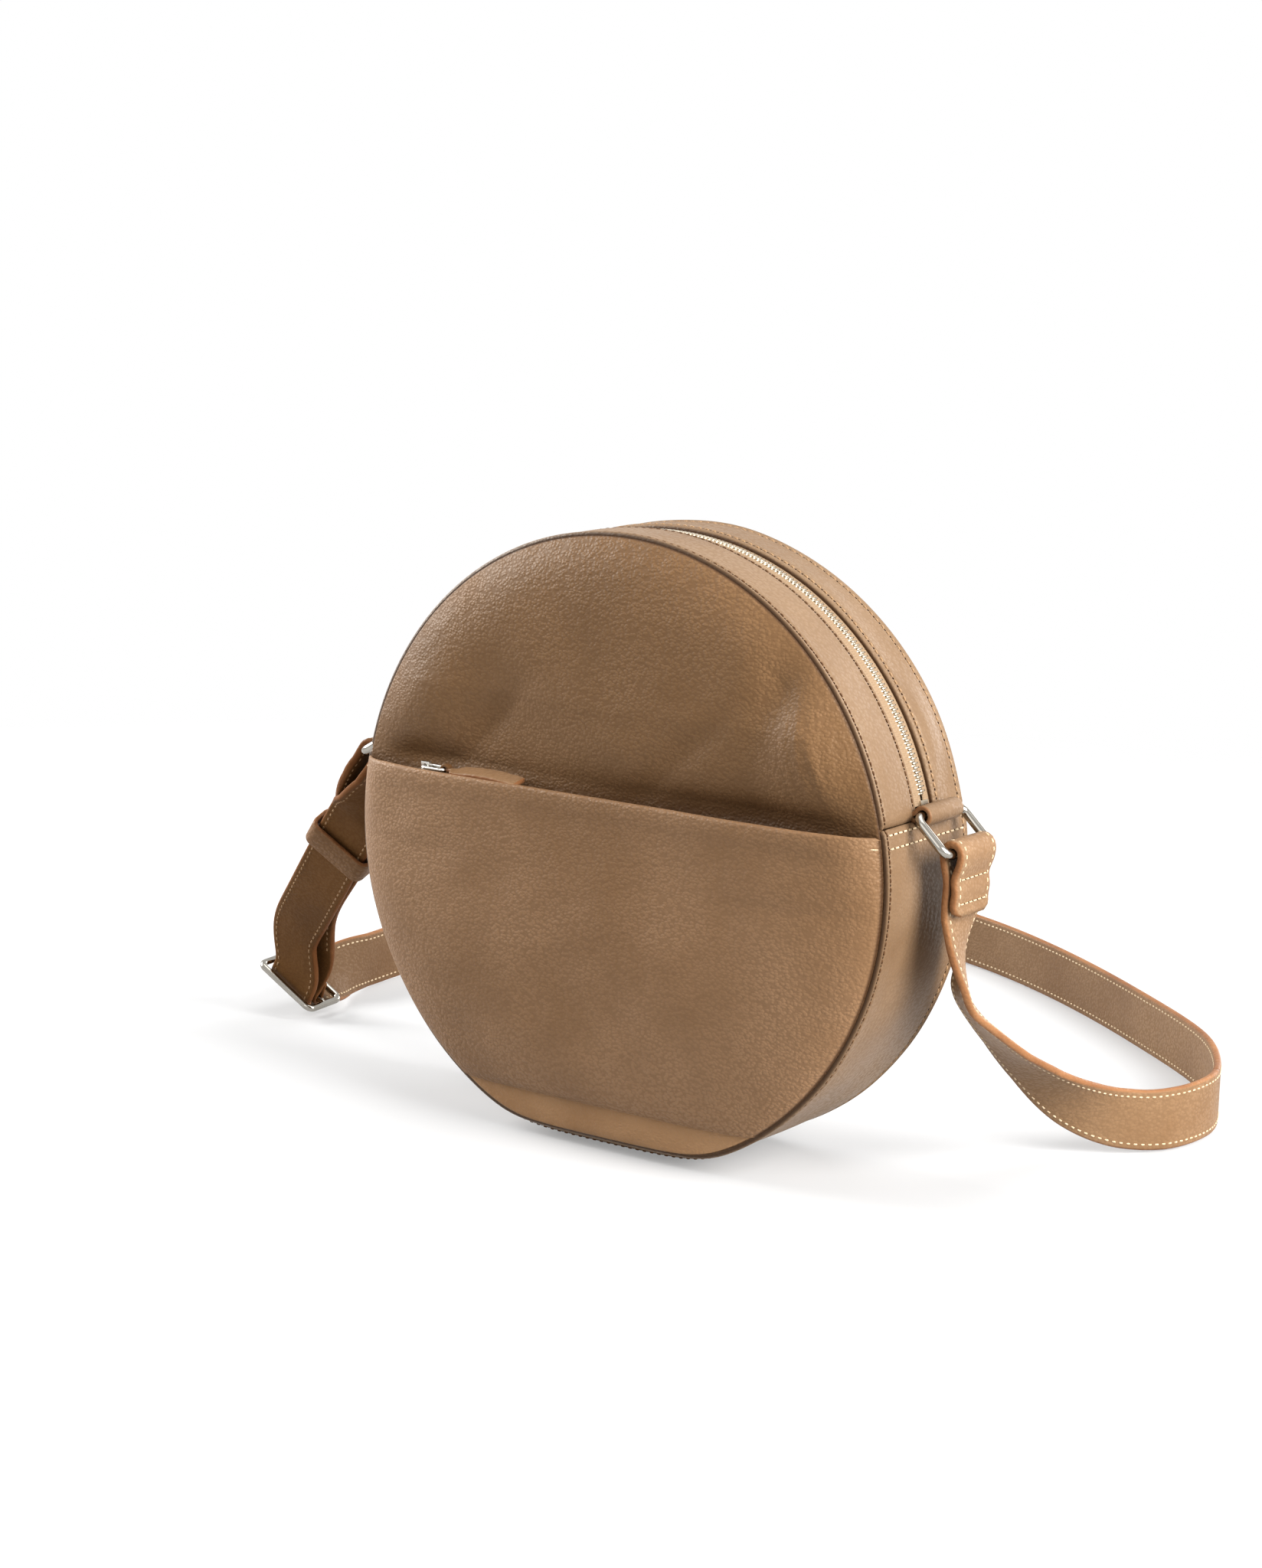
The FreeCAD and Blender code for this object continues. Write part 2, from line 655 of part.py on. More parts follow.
# outer layer of the doubled length, from the left ring down to the adjuster bar
outer = strap_path([
    (by_fold(-1, 0.3), (0, 1, 0)),
    (by_fold(-1, 5), (0.05, 1, 0)),
    ((-159.5, 8.5, 123.5), (0.45, 0.88, -0.1)),
    (by_keeper(1, 1), held_across),
    (by_keeper(1, -1), held_across),
    ((-195, 28.6, 70.8), (0.96, 0.05, -0.25)),
    ((-208, 39, 53), (0.93, 0.05, -0.3)),
    ((-214, 46, 38), (0.85, 0.05, -0.5)),
    (by_buckle(-0.8, wrap_leg + 8), across),
    (by_buckle(0, wrap_leg + 0.3), across),
], fold_along, buckle_down)
strap_piece("strap_outer_layer", outer, 0, 9, 4.0)

# thinned strap end round the centre bar
wrap = new_body("strap_end_left")
sketch = sketch_on(wrap, "XZ_Plane")
circle_in(sketch, zero, zero, s["buckle_bar"] / 2 + s["slide_gap"] + s["skived"])
circle_in(sketch, zero, zero, s["buckle_bar"] / 2 + s["slide_gap"])
feature(wrap, "Pad", sketch, s["strap_wide"])
sketch = sketch_on(wrap, "XZ_Plane")
leg_foot = s["buckle_bar"] / 2 + s["slide_gap"] + s["skived"] / 2
rectangle(sketch, (-s["skived"], s["skived"]), (-s["wrap_leg"], -leg_foot))
feature(wrap, "Pad", sketch, s["strap_wide"])
wrap.Placement = Placement(buckle_middle, frame_turn)
keep("strap_end_left", wrap)

# keeper loop round both layers
keeper_middle = keeper_spot + keeper_through * (layer_step.value / 2)
keeper = new_body("strap_keeper")
wide = s["strap_wide"] / 2 + s["keeper_room"]
deep = s["strap_thick"] / 2 + s["keeper_room"] + layer_step / 2
wall = s["keeper_wall"]
sketch = sketch_on(keeper, "XY_Plane")
rectangle(sketch, (-(wide + wall), wide + wall), (-(deep + wall), deep + wall))
rectangle(sketch, (-wide, wide), (-deep, deep))
feature(keeper, "Pad", sketch, s["keeper_long"])
keeper.Placement = Placement(keeper_middle, Rotation(keeper_across, keeper_through, keeper_along, "XYZ"))
keep("strap_keeper", keeper)
print("keeper", keeper_middle, "along", keeper_along)


def zip_slider(name, lift, long, half, chain, tall):
    # two plates with turned edges, a wedge between them at the closed end and a bail for the link
    body = new_body(name)
    inner = tall / 2 + s["slide_gap"]
    outer = inner + s["plate"]
    tape = s["tape_thick"] / 2 + s["slide_gap"]
    for sign in (1.0, -1.0):
        sketch = sketch_on(body, "YZ_Plane")
        corners = [(-half, lift + sign * tape), (-half, lift + sign * outer), (half, lift + sign * outer),
                   (half, lift + sign * tape), (half - s["flange"], lift + sign * tape),
                   (half - s["flange"], lift + sign * inner), (-(half - s["flange"]), lift + sign * inner),
                   (-(half - s["flange"]), lift + sign * tape)]
        outline(sketch, corners)
        feature(body, "Pad", sketch, long)
        if sign > 0:
            wedge = sketch_on(body, "XZ_Plane")
            rectangle(wedge, (-long / 2, -(long / 2 - s["post"])), (lift - outer, lift + outer))
            feature(body, "Pad", wedge, s["post"])
    room = s["link_wire"] / 2 + s["slide_gap"]
    wall = s["post"] / 2
    bail = sketch_on(body, "XZ_Plane")
    rectangle(bail, (-(room + wall), room + wall), (lift + inner, lift + outer + 2 * room + wall))
    feature(body, "Pad", bail, s["post"])
    hole = sketch_on(body, "XZ_Plane")
    circle_in(hole, zero, lift + outer + room, room)
    feature(body, "Pocket", hole, s["post"] * 2)
    return body


def pull_tab(name, lift, wide_shift):
    # leather pull: narrow loop round the link and a wide stitched tongue
    loop_hole = s["link_wire"] / 2 + s["slide_gap"]
    loop_wide = s["link_span"] - s["link_wire"] - 2 * s["slide_gap"]
    body = new_body(name)
    sketch = sketch_on(body, "XZ_Plane")
    circle_in(sketch, zero, lift, loop_hole + s["pull_loop"])
    feature(body, "Pad", sketch, loop_wide)
    neck = s["pull_thick"] / 2
    start = loop_hole + s["pull_loop"] + s["link_wire"]
    sketch = sketch_on(body, "XZ_Plane")
    rectangle(sketch, (zero, start + 1), (lift - neck, lift + neck))
    feature(body, "Pad", sketch, loop_wide)
    sketch = sketch_on(body, "XY_Plane")
    half = s["pull_wide"] / 2
    rectangle(sketch, (start, s["pull_long"]), (wide_shift - half, wide_shift + half))
    feature(body, "Pad", sketch, s["pull_thick"])
    sketch = sketch_on(body, "XZ_Plane")
    circle_in(sketch, zero, lift, loop_hole)
    feature(body, "Pocket", sketch, s["pull_wide"] * 3)
    return body


# main zip: tapes under the strips, teeth on their edges, slider at the left end
tape_top = s["bag_radius"] - leather - s["lay_gap"]
tape_middle = tape_top - s["tape_thick"] / 2
leg_turn = (leg_thick + s["lay_gap"] * 3) / s["bag_radius"] * (180 / math.pi)
tape_start = seam + leg_turn.value
tape_sweep = 180 - 2 * s["seam_angle"] - 2 * leg_turn
for name, sign in (("main_tape_front", -1.0), ("main_tape_back", 1.0)):
    near = s["zip_shift"] + sign * s["chain_half"]
    far = s["zip_shift"] + sign * s["tape_reach"]
    front, back = (far, near) if sign < 0 else (near, far)
    keep(name, cut(name, drum(name + "_outer", tape_top, front, back, tape_start, tape_sweep),
                   drum(name + "_inner", tape_top - s["tape_thick"], -over, over)))


def round_zip(angle):
    # local x along the zip to the right, z out along the radius
    base = Vector(0, sizes["zip_shift"], sizes["centre_height"])
    return Placement(base, Rotation(Vector(0, 1, 0), 90 - angle))


def tooth_row(label, sign, places, chain, cross, tall, long):
    # one box per tooth, from the tape edge to just past the middle
    teeth = []
    for place in places:
        low = -chain if sign < 0 else -cross
        block = Part.makeBox(long, chain + cross, tall, Vector(-long / 2, low, -tall / 2))
        teeth.append(block.transformed(place.toMatrix()))
    return computed(label, Part.makeCompound(teeth))


room_turn = math.degrees(sizes["zip_end_room"] / sizes["bag_radius"])
pitch_turn = math.degrees(sizes["tooth_pitch"] / tape_middle.value)
first_tooth = seam + room_turn
slider_turn = math.degrees(sizes["slider_long"] / tape_middle.value)
last_tooth = 180 - seam - room_turn - 0.35 * slider_turn
tooth_count = int((last_tooth - first_tooth) / pitch_turn)
for label, sign in (("main_teeth_front", -1), ("main_teeth_back", 1)):
    shift = 0.0 if sign < 0 else 0.5
    places = []
    for i in range(tooth_count):
        spot = round_zip(first_tooth + (i + shift) * pitch_turn)
        spot.Base = spot.Base + spot.Rotation.multVec(Vector(0, 0, tape_middle.value))
        places.append(spot)
    tooth_row(label, sign, places, sizes["chain_half"], sizes["tooth_cross"], sizes["tooth_tall"],
              sizes["tooth_long"])

slider_angle = last_tooth - 0.2 * slider_turn
slider = zip_slider("main_slider", tape_middle, s["slider_long"], s["slider_half"], s["chain_half"],
                    s["tooth_tall"])
slider.Placement = round_zip(slider_angle)
keep("main_slider", slider)
link_height = s["tooth_tall"] / 2 + s["plate"] + s["link_wire"] / 2 + 2 * s["slide_gap"]
main_axis = tape_middle + link_height
link = wire_loop("main_link", s["link_wire"], s["link_span"], s["link_reach"], s["link_corner"])
link.Placement = round_zip(slider_angle).multiply(Placement(Vector(0, 0, main_axis.value), Rotation()))
keep("main_link", link)
pull = pull_tab("main_pull", zero, zero)
dip = Rotation(Vector(0, 1, 0), 7.0)
pull.Placement = link.Placement.multiply(Placement(Vector(sizes["link_reach"], 0, 0), dip))
keep("main_pull", pull)
print("slider angle", slider_angle, "link axis", link.Placement.Base, "pull axis", pull.Placement.Base)

# stops: two at the closed end on the tapes, one across the open end
stop_edge = sizes["chain_half"] + sizes["stop_over"]
closed_angle = slider_angle + slider_turn * 0.5 + sizes["stop_turn"]
open_angle = first_tooth - pitch_turn * 1.1
on_tape = tape_top.value + sizes["stop_lift"]
by_teeth = tape_middle.value - sizes["tooth_tall"] / 2
stops = []
stop_rows = [(closed_angle, -stop_edge, -sizes["stop_apart"], on_tape, sizes["stop_thick"]),
             (closed_angle, sizes["stop_apart"], stop_edge, on_tape, sizes["stop_thick"]),
             (open_angle, -sizes["chain_half"], sizes["chain_half"], by_teeth, sizes["tooth_tall"])]
for angle, low, high, lift, tall in stop_rows:
    spot = round_zip(angle)
    block = Part.makeBox(sizes["stop_long"], high - low, tall, Vector(-sizes["stop_long"] / 2, low, lift))
    stops.append(block.transformed(spot.toMatrix()))
computed("main_zip_stops", Part.makeCompound(stops))

# pocket zip: lies level in the pocket mouth, its pull rests on the pocket edge
zip_y = -(panel_face + pocket_deep / 2)
pocket_link = s["pocket_tooth_tall"] / 2 + s["plate"] + s["link_wire"] / 2 + 2 * s["slide_gap"]
zip_z = pocket_mouth + s["slide_gap"] + s["pull_thick"] / 2 - pocket_link
half_tape = s["tape_thick"] / 2
pocket_half = (flat_radius * flat_radius - s["pocket_top"] * s["pocket_top"]).root() - s["pocket_zip_room"]
long_half = pocket_half + s["pocket_tape_over"]
for name, low, high in (("pocket_tape_rear", zip_y + s["pocket_chain_half"], -panel_face),
                        ("pocket_tape_front", -pocket_inner, zip_y - s["pocket_chain_half"])):
    keep(name, box(name, (-long_half, long_half), (low, high), (zip_z - half_tape, zip_z + half_tape)))
pocket_rest = -(pocket_half - s["pocket_slider_room"])
count = int(2 * (pocket_half.value - sizes["pocket_slider_room"]) / sizes["tooth_pitch"])
for label, sign in (("pocket_teeth_front", -1), ("pocket_teeth_rear", 1)):
    shift = 0.0 if sign < 0 else 0.5
    places = []
    for i in range(count):
        x = pocket_half.value - sizes["pocket_tooth_room"] - (i + shift) * sizes["tooth_pitch"]
        places.append(Placement(Vector(x, zip_y.value, zip_z.value), Rotation()))
    tooth_row(label, sign, places, sizes["pocket_chain_half"], sizes["tooth_cross"] * 0.8,
              sizes["pocket_tooth_tall"], sizes["tooth_long"])
slider = zip_slider("pocket_slider", zero, s["pocket_slider_long"], s["pocket_slider_half"],
                    s["pocket_chain_half"], s["pocket_tooth_tall"])
keep("pocket_slider", put(slider, pocket_rest, zip_y, zip_z))
link = wire_loop("pocket_link", s["link_wire"], s["link_span"], s["link_reach"], s["link_corner"])
keep("pocket_link", put(link, pocket_rest, zip_y, zip_z + pocket_link))
pull = pull_tab("pocket_pull", zero, -s["pull_shift"])
keep("pocket_pull", put(pull, pocket_rest + s["link_reach"], zip_y, zip_z + pocket_link))
stops = []
width = 2 * sizes["pocket_chain_half"]
stop_base = zip_z.value - sizes["pocket_tooth_tall"] / 2
rest_stop = -(pocket_half.value + sizes["stop_rest_room"] + sizes["stop_long"])
for x in (rest_stop, pocket_half.value + sizes["stop_room"]):
    corner = Vector(x, zip_y.value - width / 2, stop_base)
    stops.append(Part.makeBox(sizes["stop_long"], width, sizes["pocket_tooth_tall"], corner))
computed("pocket_zip_stops", Part.makeCompound(stops))

doc.recompute()
wrong = [thing.Label for thing in doc.Objects if "Invalid" in thing.State or "Error" in thing.State]
for label, thing in nodes.items():
    if thing.Shape.isNull() or not thing.Shape.isValid() or not thing.Shape.Solids:
        wrong.append(label + " shape")
if wrong:
    raise RuntimeError("not built: " + ", ".join(wrong))
os.makedirs("parts", exist_ok=True)
for label, thing in nodes.items():
    thing.Shape.exportStep("parts/" + label + ".step")
    bounds = thing.Shape.BoundBox
    print(label, len(thing.Shape.Solids), "volume %.0f" % thing.Shape.Volume,
          "x %.1f %.1f y %.1f %.1f z %.1f %.1f" % (bounds.XMin, bounds.XMax, bounds.YMin, bounds.YMax,
                                                    bounds.ZMin, bounds.ZMax))
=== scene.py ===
import bpy
import math
import numpy as np
from mathutils import Matrix, Vector


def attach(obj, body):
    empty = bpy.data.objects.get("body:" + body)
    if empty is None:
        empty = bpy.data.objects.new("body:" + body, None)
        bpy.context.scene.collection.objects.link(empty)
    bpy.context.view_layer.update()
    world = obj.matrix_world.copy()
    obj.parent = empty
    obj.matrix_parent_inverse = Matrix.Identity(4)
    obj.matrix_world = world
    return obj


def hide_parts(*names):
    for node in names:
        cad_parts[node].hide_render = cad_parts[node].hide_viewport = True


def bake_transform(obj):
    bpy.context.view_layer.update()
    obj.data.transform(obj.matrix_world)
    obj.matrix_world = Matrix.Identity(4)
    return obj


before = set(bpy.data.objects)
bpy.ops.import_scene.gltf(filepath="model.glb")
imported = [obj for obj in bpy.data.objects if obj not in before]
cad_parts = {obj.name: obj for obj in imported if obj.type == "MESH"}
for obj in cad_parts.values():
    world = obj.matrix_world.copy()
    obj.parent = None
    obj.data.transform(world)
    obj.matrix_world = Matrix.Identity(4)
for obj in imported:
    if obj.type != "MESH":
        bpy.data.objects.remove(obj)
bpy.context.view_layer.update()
print("frame loaded:", len(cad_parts), "solids")

mm = 0.001   # all shapes are worked out in millimetres
bagMiddle = np.array([0.0, 0.0, 119.0])
deepWay = np.array([0.0, 1.0, 0.0])   # from the front of the bag to its back


# Curves and distances
def bump(x, middle, width):
    # bell curve, 1 at its middle
    return np.exp(-((x - middle) / width) ** 2)


def climb(x, start, reach):
    # straight climb from 0 at the start to 1 one reach further on
    return np.clip((x - start) / reach, 0, 1)


def roundFall(x):
    # quarter circle: 0 and level at x = 0, growing ever faster to 1 at x = 1
    return 1 - np.sqrt(1 - np.clip(x, 0, 1) ** 2)


def unit(v):
    return v / np.maximum(np.linalg.norm(v, axis=-1, keepdims=True), 1e-9)


def chords(path):
    # straight distances between neighbouring points
    return np.linalg.norm(np.diff(path, axis=0), axis=1)


def runOf(steps):
    # how far each point lies from the first
    return np.concatenate([[0], np.cumsum(steps)])


def alongPath(path):
    # direction of travel at each point
    return unit(np.gradient(path, axis=0))


def waves(points, seed, length, count=7):
    # sum of sine waves of about one length in random directions, between -1 and 1
    rng = np.random.default_rng(seed)
    way = rng.normal(size=(count, 3))
    sizes = np.linalg.norm(way, axis=1)[:, None]
    way /= sizes * length / (2 * np.pi) * rng.uniform(0.7, 1.4, count)[:, None]
    return np.sin(points @ way.T + rng.uniform(0, 2 * np.pi, count)).sum(-1) / count


def roundedBox(wide, deep, corner, steps=3):
    # outline of a rectangle with rounded corners, four quarter circles joined
    turn = np.linspace(0, np.pi / 2, steps + 1)
    parts = []
    for quarter, (x, y) in enumerate(((1, 1), (-1, 1), (-1, -1), (1, -1))):
        a = turn + quarter * np.pi / 2
        middle = np.array([x * (wide / 2 - corner), y * (deep / 2 - corner)])
        parts.append(middle + corner * np.stack([np.cos(a), np.sin(a)], -1))
    return np.concatenate(parts)


def splineThrough(stations, leave, arrive):
    # cubic line through the stations with fixed end directions; its parameter grows with each chord's root
    p = np.asarray(stations, float)
    t = runOf(np.sqrt(chords(p)))
    h = np.diff(t)
    n = len(p)
    a = np.zeros((n, n))
    b = np.zeros((n, 3))
    a[0, 0] = a[-1, -1] = 1
    b[0], b[-1] = np.asarray(leave) * h[0], np.asarray(arrive) * h[-1]
    k = np.arange(1, n - 1)
    a[k, k - 1], a[k, k], a[k, k + 1] = h[1:], 2 * (h[:-1] + h[1:]), h[:-1]
    before, after = h[:-1, None], h[1:, None]
    b[1:-1] = 3 * (after * (p[1:-1] - p[:-2]) / before + before * (p[2:] - p[1:-1]) / after)
    slope = np.linalg.solve(a, b)

    def at(s):
        s = np.clip(s, 0, t[-1])
        i = np.clip(np.searchsorted(t, s, side="right") - 1, 0, n - 2)
        u = ((s - t[i]) / h[i])[:, None]
        w = h[i][:, None]
        return ((2 * u ** 3 - 3 * u ** 2 + 1) * p[i] + (u ** 3 - 2 * u ** 2 + u) * w * slope[i]
                + (3 * u ** 2 - 2 * u ** 3) * p[i + 1] + (u ** 3 - u ** 2) * w * slope[i + 1])
    return at, t


def evenly(at, start, finish, step):
    # parameter values whose points lie a fixed step apart
    fine = np.linspace(start, finish, 4000)
    run = runOf(chords(at(fine)))
    count = max(4, int(round(run[-1] / step)))
    return np.interp(np.linspace(0, run[-1], count + 1), run, fine)


# Meshes
def gridFaces(rows, cols, wrapRows=False, wrapCols=False):
    # quads between neighbouring rows and columns, corners numbered row by row
    rowSteps = np.arange(rows if wrapRows else rows - 1)
    colSteps = np.arange(cols if wrapCols else cols - 1)
    i, j = np.meshgrid(rowSteps, colSteps, indexing="ij")
    up, side = (i + 1) % rows, (j + 1) % cols
    corners = [i * cols + j, i * cols + side, up * cols + side, up * cols + j]
    return np.stack(corners, -1).reshape(-1, 4).tolist()


def flipped(faces):
    return [f[::-1] for f in faces]


def makePiece(name, points, faces, material, marks=()):
    # points in millimetres become a mesh in metres; marks are two values per point: painted edge (painted
    # light on the front panel), painted shade
    mesh = bpy.data.meshes.new(name)
    mesh.from_pydata((np.asarray(points, float) * mm).tolist(), [], faces)
    for mark, values in zip(("edge", "shade"), marks):
        layer = mesh.attributes.new(mark, "FLOAT", "POINT")
        layer.data.foreach_set("value", np.asarray(values, np.float32).ravel())
    mesh.polygons.foreach_set("use_smooth", np.full(len(mesh.polygons), True))
    mesh.materials.append(material)
    mesh.update()
    piece = bpy.data.objects.new(name, mesh)
    bpy.context.scene.collection.objects.link(piece)
    return piece


def tubeOf(rows):
    # closed outlines (stations, outline points, 3) joined along the path, each end closed by a fan
    count, around = rows.shape[:2]
    step = np.arange(around)
    after = (step + 1) % around
    start = (count - 1) * around
    first = np.stack([np.full(around, count * around), after, step], -1)
    last = np.stack([np.full(around, count * around + 1), start + step, start + after], -1)
    points = np.concatenate([rows.reshape(-1, 3), rows[[0, -1]].mean(1)])
    return points, gridFaces(count, around, wrapCols=True) + first.tolist() + last.tolist()


def copiesOf(shape, faces, middles, along, across, up):
    # a small shape repeated at each place, its x, y and z laid along the three local ways
    points = (middles[:, None] + shape[None, :, :1] * along[:, None] + shape[None, :, 1:2] * across[:, None]
              + shape[None, :, 2:] * up[:, None])
    every = [[corner + i * len(shape) for corner in f] for i in range(len(middles)) for f in faces]
    return points.reshape(-1, 3), every


# Node helpers
def plug(tree, socket, value):
    # a socket is linked, anything else becomes the fixed value of the input
    if isinstance(value, bpy.types.NodeSocket):
        tree.links.new(value, socket)
    elif socket.type == "RGBA":
        socket.default_value = (*value, 1.0)
    else:
        socket.default_value = value


def fill(tree, made, **values):
    # small keys set the node up, keys with a capital are its inputs, with _ for a space
    for key, value in values.items():
        if key[0].islower():
            setattr(made, key, value)
        else:
            plug(tree, made.inputs[key.replace("_", " ")], value)
    return made


def node(tree, kind, **values):
    return fill(tree, tree.nodes.new("ShaderNode" + kind), **values)


def mathOf(tree, operation, *values, kind="Math"):
    made = node(tree, kind, operation=operation)
    for socket, value in zip(made.inputs, values):
        plug(tree, socket, value)
    return made.outputs[0]


def scaled(tree, value, by, plus=0.0):
    # value times by, plus a third
    return mathOf(tree, "MULTIPLY_ADD", value, by, plus)


def mixColour(tree, share, a, b):
    made = node(tree, "Mix", data_type="RGBA")
    for k, value in ((0, share), (6, a), (7, b)):   # inputs 6 and 7 are the node's colours
        plug(tree, made.inputs[k], value)
    return made.outputs[2]


def rampOf(tree, value, low, high):
    # straight climb from 0 at low to 1 at high
    return node(tree, "MapRange", Value=value, From_Min=low, From_Max=high).outputs["Result"]


def objectPlace(tree):
    return node(tree, "TexCoord").outputs["Object"]


def noiseOf(tree, place, size, detail, **more):
    return node(tree, "TexNoise", Vector=place, Scale=size, Detail=detail, **more)


def bumpInto(tree, shader, height, strength, distance):
    made = node(tree, "Bump", Height=height, Strength=strength, Distance=distance)
    plug(tree, shader.inputs["Normal"], made.outputs["Normal"])


def newMaterial(name):
    made = bpy.data.materials.new(name)
    made.use_nodes = True
    return made, made.node_tree, made.node_tree.nodes["Principled BSDF"]


def seenRays(tree):
    # 1 for rays from the camera, from a mirror or through glass
    ray = node(tree, "LightPath").outputs
    direct = mathOf(tree, "MAXIMUM", ray["Is Camera Ray"], ray["Is Glossy Ray"])
    return mathOf(tree, "MAXIMUM", direct, ray["Is Transmission Ray"])


# Leather
def grainGroup():
    # pebbled grain: round cells of two sizes, stronger in some patches, with mottling, clouds and fine pores
    group = bpy.data.node_groups.new("pebbledGrain", "ShaderNodeTree")
    for way, labels in (("INPUT", ("Cell", "Patch")), ("OUTPUT", ("Height", "Crease", "Mottle", "Cloud"))):
        for label in labels:
            group.interface.new_socket(label, in_out=way, socket_type="NodeSocketFloat")
    entry = group.nodes.new("NodeGroupInput").outputs
    place = objectPlace(group)
    bend = noiseOf(group, place, 420.0, 2.0).outputs["Color"]
    bent = mathOf(group, "MULTIPLY_ADD", bend, (0.0009, 0.0009, 0.0009), place, kind="VectorMath")
    squashed = mathOf(group, "MULTIPLY", bent, (1.0, 1.0, 1.3), kind="VectorMath")
    cells = []
    for share in (1.0, 0.46):
        cell = node(group, "TexVoronoi", Vector=squashed, Scale=scaled(group, entry["Cell"], share))
        cells.append(cell.outputs["Distance"])
    dome, wideDome = (rampOf(group, mathOf(group, "MULTIPLY", cell, cell), 0.40, 0.0) for cell in cells)
    patch = noiseOf(group, place, entry["Patch"], 5.0, Roughness=0.62).outputs["Fac"]
    cloud = noiseOf(group, place, scaled(group, entry["Patch"], 0.45), 2.0).outputs["Fac"]
    pores = noiseOf(group, place, 3200.0, 3.0).outputs["Fac"]
    power = scaled(group, rampOf(group, patch, 0.30, 0.66), 0.7, 0.4)
    height = scaled(group, pores, 0.12, scaled(group, dome, power, scaled(group, wideDome, 0.45)))
    crease = scaled(group, rampOf(group, cells[0], 0.40, 0.66), power)
    fill(group, group.nodes.new("NodeGroupOutput"), Height=height, Crease=crease, Mottle=patch, Cloud=cloud)
    return group


grain = grainGroup()
# cell and patch are how many lie in a metre; fold is the colour of the painted shade in creases and seams;
# edge and paint are the two tones of a painted edge, and on the front panel the tones of the painted light
# below the pocket;
# the six looks stand for one leather: their differences in tone are partly painted light and shade, lighter
# on pieces where the light falls and darker on shaded ones
leatherLooks = {
    "panelLeather": {
        "cell": 680.0, "patch": 26.0, "crease": 0.24, "rough": 0.36, "depth": 0.40, "gloss": 0.24,
        "dark": (0.142, 0.072, 0.029), "light": (0.210, 0.112, 0.050), "fold": (0.042, 0.016, 0.005),
        "edge": (0.38, 0.215, 0.105), "paint": (0.30, 0.160, 0.072)},
    # lighter than the panel, partly as painted light on the pocket
    "pocketLeather": {
        "cell": 680.0, "patch": 22.0, "crease": 0.22, "rough": 0.36, "depth": 0.38, "gloss": 0.26,
        "dark": (0.192, 0.102, 0.047), "light": (0.274, 0.155, 0.080), "fold": (0.045, 0.018, 0.006),
        "edge": (0.23, 0.12, 0.06), "paint": (0.16, 0.08, 0.035)},
    "gussetLeather": {
        "cell": 620.0, "patch": 24.0, "crease": 0.10, "rough": 0.32, "depth": 0.18, "gloss": 0.36,
        "dark": (0.160, 0.092, 0.046), "light": (0.218, 0.136, 0.076), "fold": (0.040, 0.016, 0.005),
        "edge": (0.26, 0.125, 0.054), "paint": (0.17, 0.075, 0.030)},
    "strapLeather": {
        "cell": 620.0, "patch": 34.0, "crease": 0.24, "rough": 0.37, "depth": 0.34, "gloss": 0.22,
        "dark": (0.132, 0.061, 0.022), "light": (0.190, 0.097, 0.042), "fold": (0.040, 0.015, 0.005),
        "edge": (0.27, 0.120, 0.047), "paint": (0.18, 0.068, 0.024)},
    # lighter copy of the strap leather: painted light on the strap's right end, fall, run and the pulls
    "litStrap": {
        "cell": 620.0, "patch": 34.0, "crease": 0.18, "rough": 0.36, "depth": 0.28, "gloss": 0.26,
        "dark": (0.205, 0.112, 0.052), "light": (0.280, 0.166, 0.086), "fold": (0.045, 0.017, 0.005),
        "edge": (0.29, 0.130, 0.052), "paint": (0.19, 0.073, 0.026)},
    # darker copy of the strap leather: painted shade on the left strap
    "shadedStrap": {
        "cell": 700.0, "patch": 34.0, "crease": 0.14, "rough": 0.36, "depth": 0.16, "gloss": 0.06,
        "dark": (0.098, 0.043, 0.013), "light": (0.154, 0.072, 0.025), "fold": (0.028, 0.010, 0.003),
        "edge": (0.19, 0.078, 0.028), "paint": (0.13, 0.048, 0.016)},
}


def leatherOf(name):
    # dyed hide: cloudy and mottled colour, painted shade in the grain's creases and where the shade mark is
    # set, and the edge tones where the edge mark is set: painted edges on most pieces, painted light below
    # the pocket on the front panel
    look = leatherLooks[name]
    material, tree, shader = newMaterial(name)
    hide = node(tree, "Group", node_tree=grain, Cell=look["cell"], Patch=look["patch"]).outputs
    edge, shade = (node(tree, "Attribute", attribute_name=mark).outputs["Fac"] for mark in ("edge", "shade"))
    tone = scaled(tree, hide["Mottle"], 0.5, scaled(tree, hide["Cloud"], 0.5))
    colour = mixColour(tree, rampOf(tree, tone, 0.38, 0.62), look["dark"], look["light"])
    # painted shade in the creases of the grain
    colour = mixColour(tree, scaled(tree, hide["Crease"], look["crease"]), colour, look["fold"])
    # painted shade where the shade mark is set
    colour = mixColour(tree, shade, colour, look["fold"])
    paint = mixColour(tree, rampOf(tree, hide["Mottle"], 0.35, 0.65), look["paint"], look["edge"])
    rough = scaled(tree, hide["Mottle"], 0.22, look["rough"])
    fill(tree, shader, Base_Color=mixColour(tree, edge, colour, paint), Specular_Tint=(1.0, 0.86, 0.68),
         Roughness=scaled(tree, hide["Crease"], 0.15, rough), Specular_IOR_Level=look["gloss"])
    bumpInto(tree, shader, hide["Height"], look["depth"], 0.0005)
    return material


panelLeather = leatherOf("panelLeather")
pocketLeather = leatherOf("pocketLeather")
gussetLeather = leatherOf("gussetLeather")
strapLeather = leatherOf("strapLeather")
litStrap = leatherOf("litStrap")
shadedStrap = leatherOf("shadedStrap")


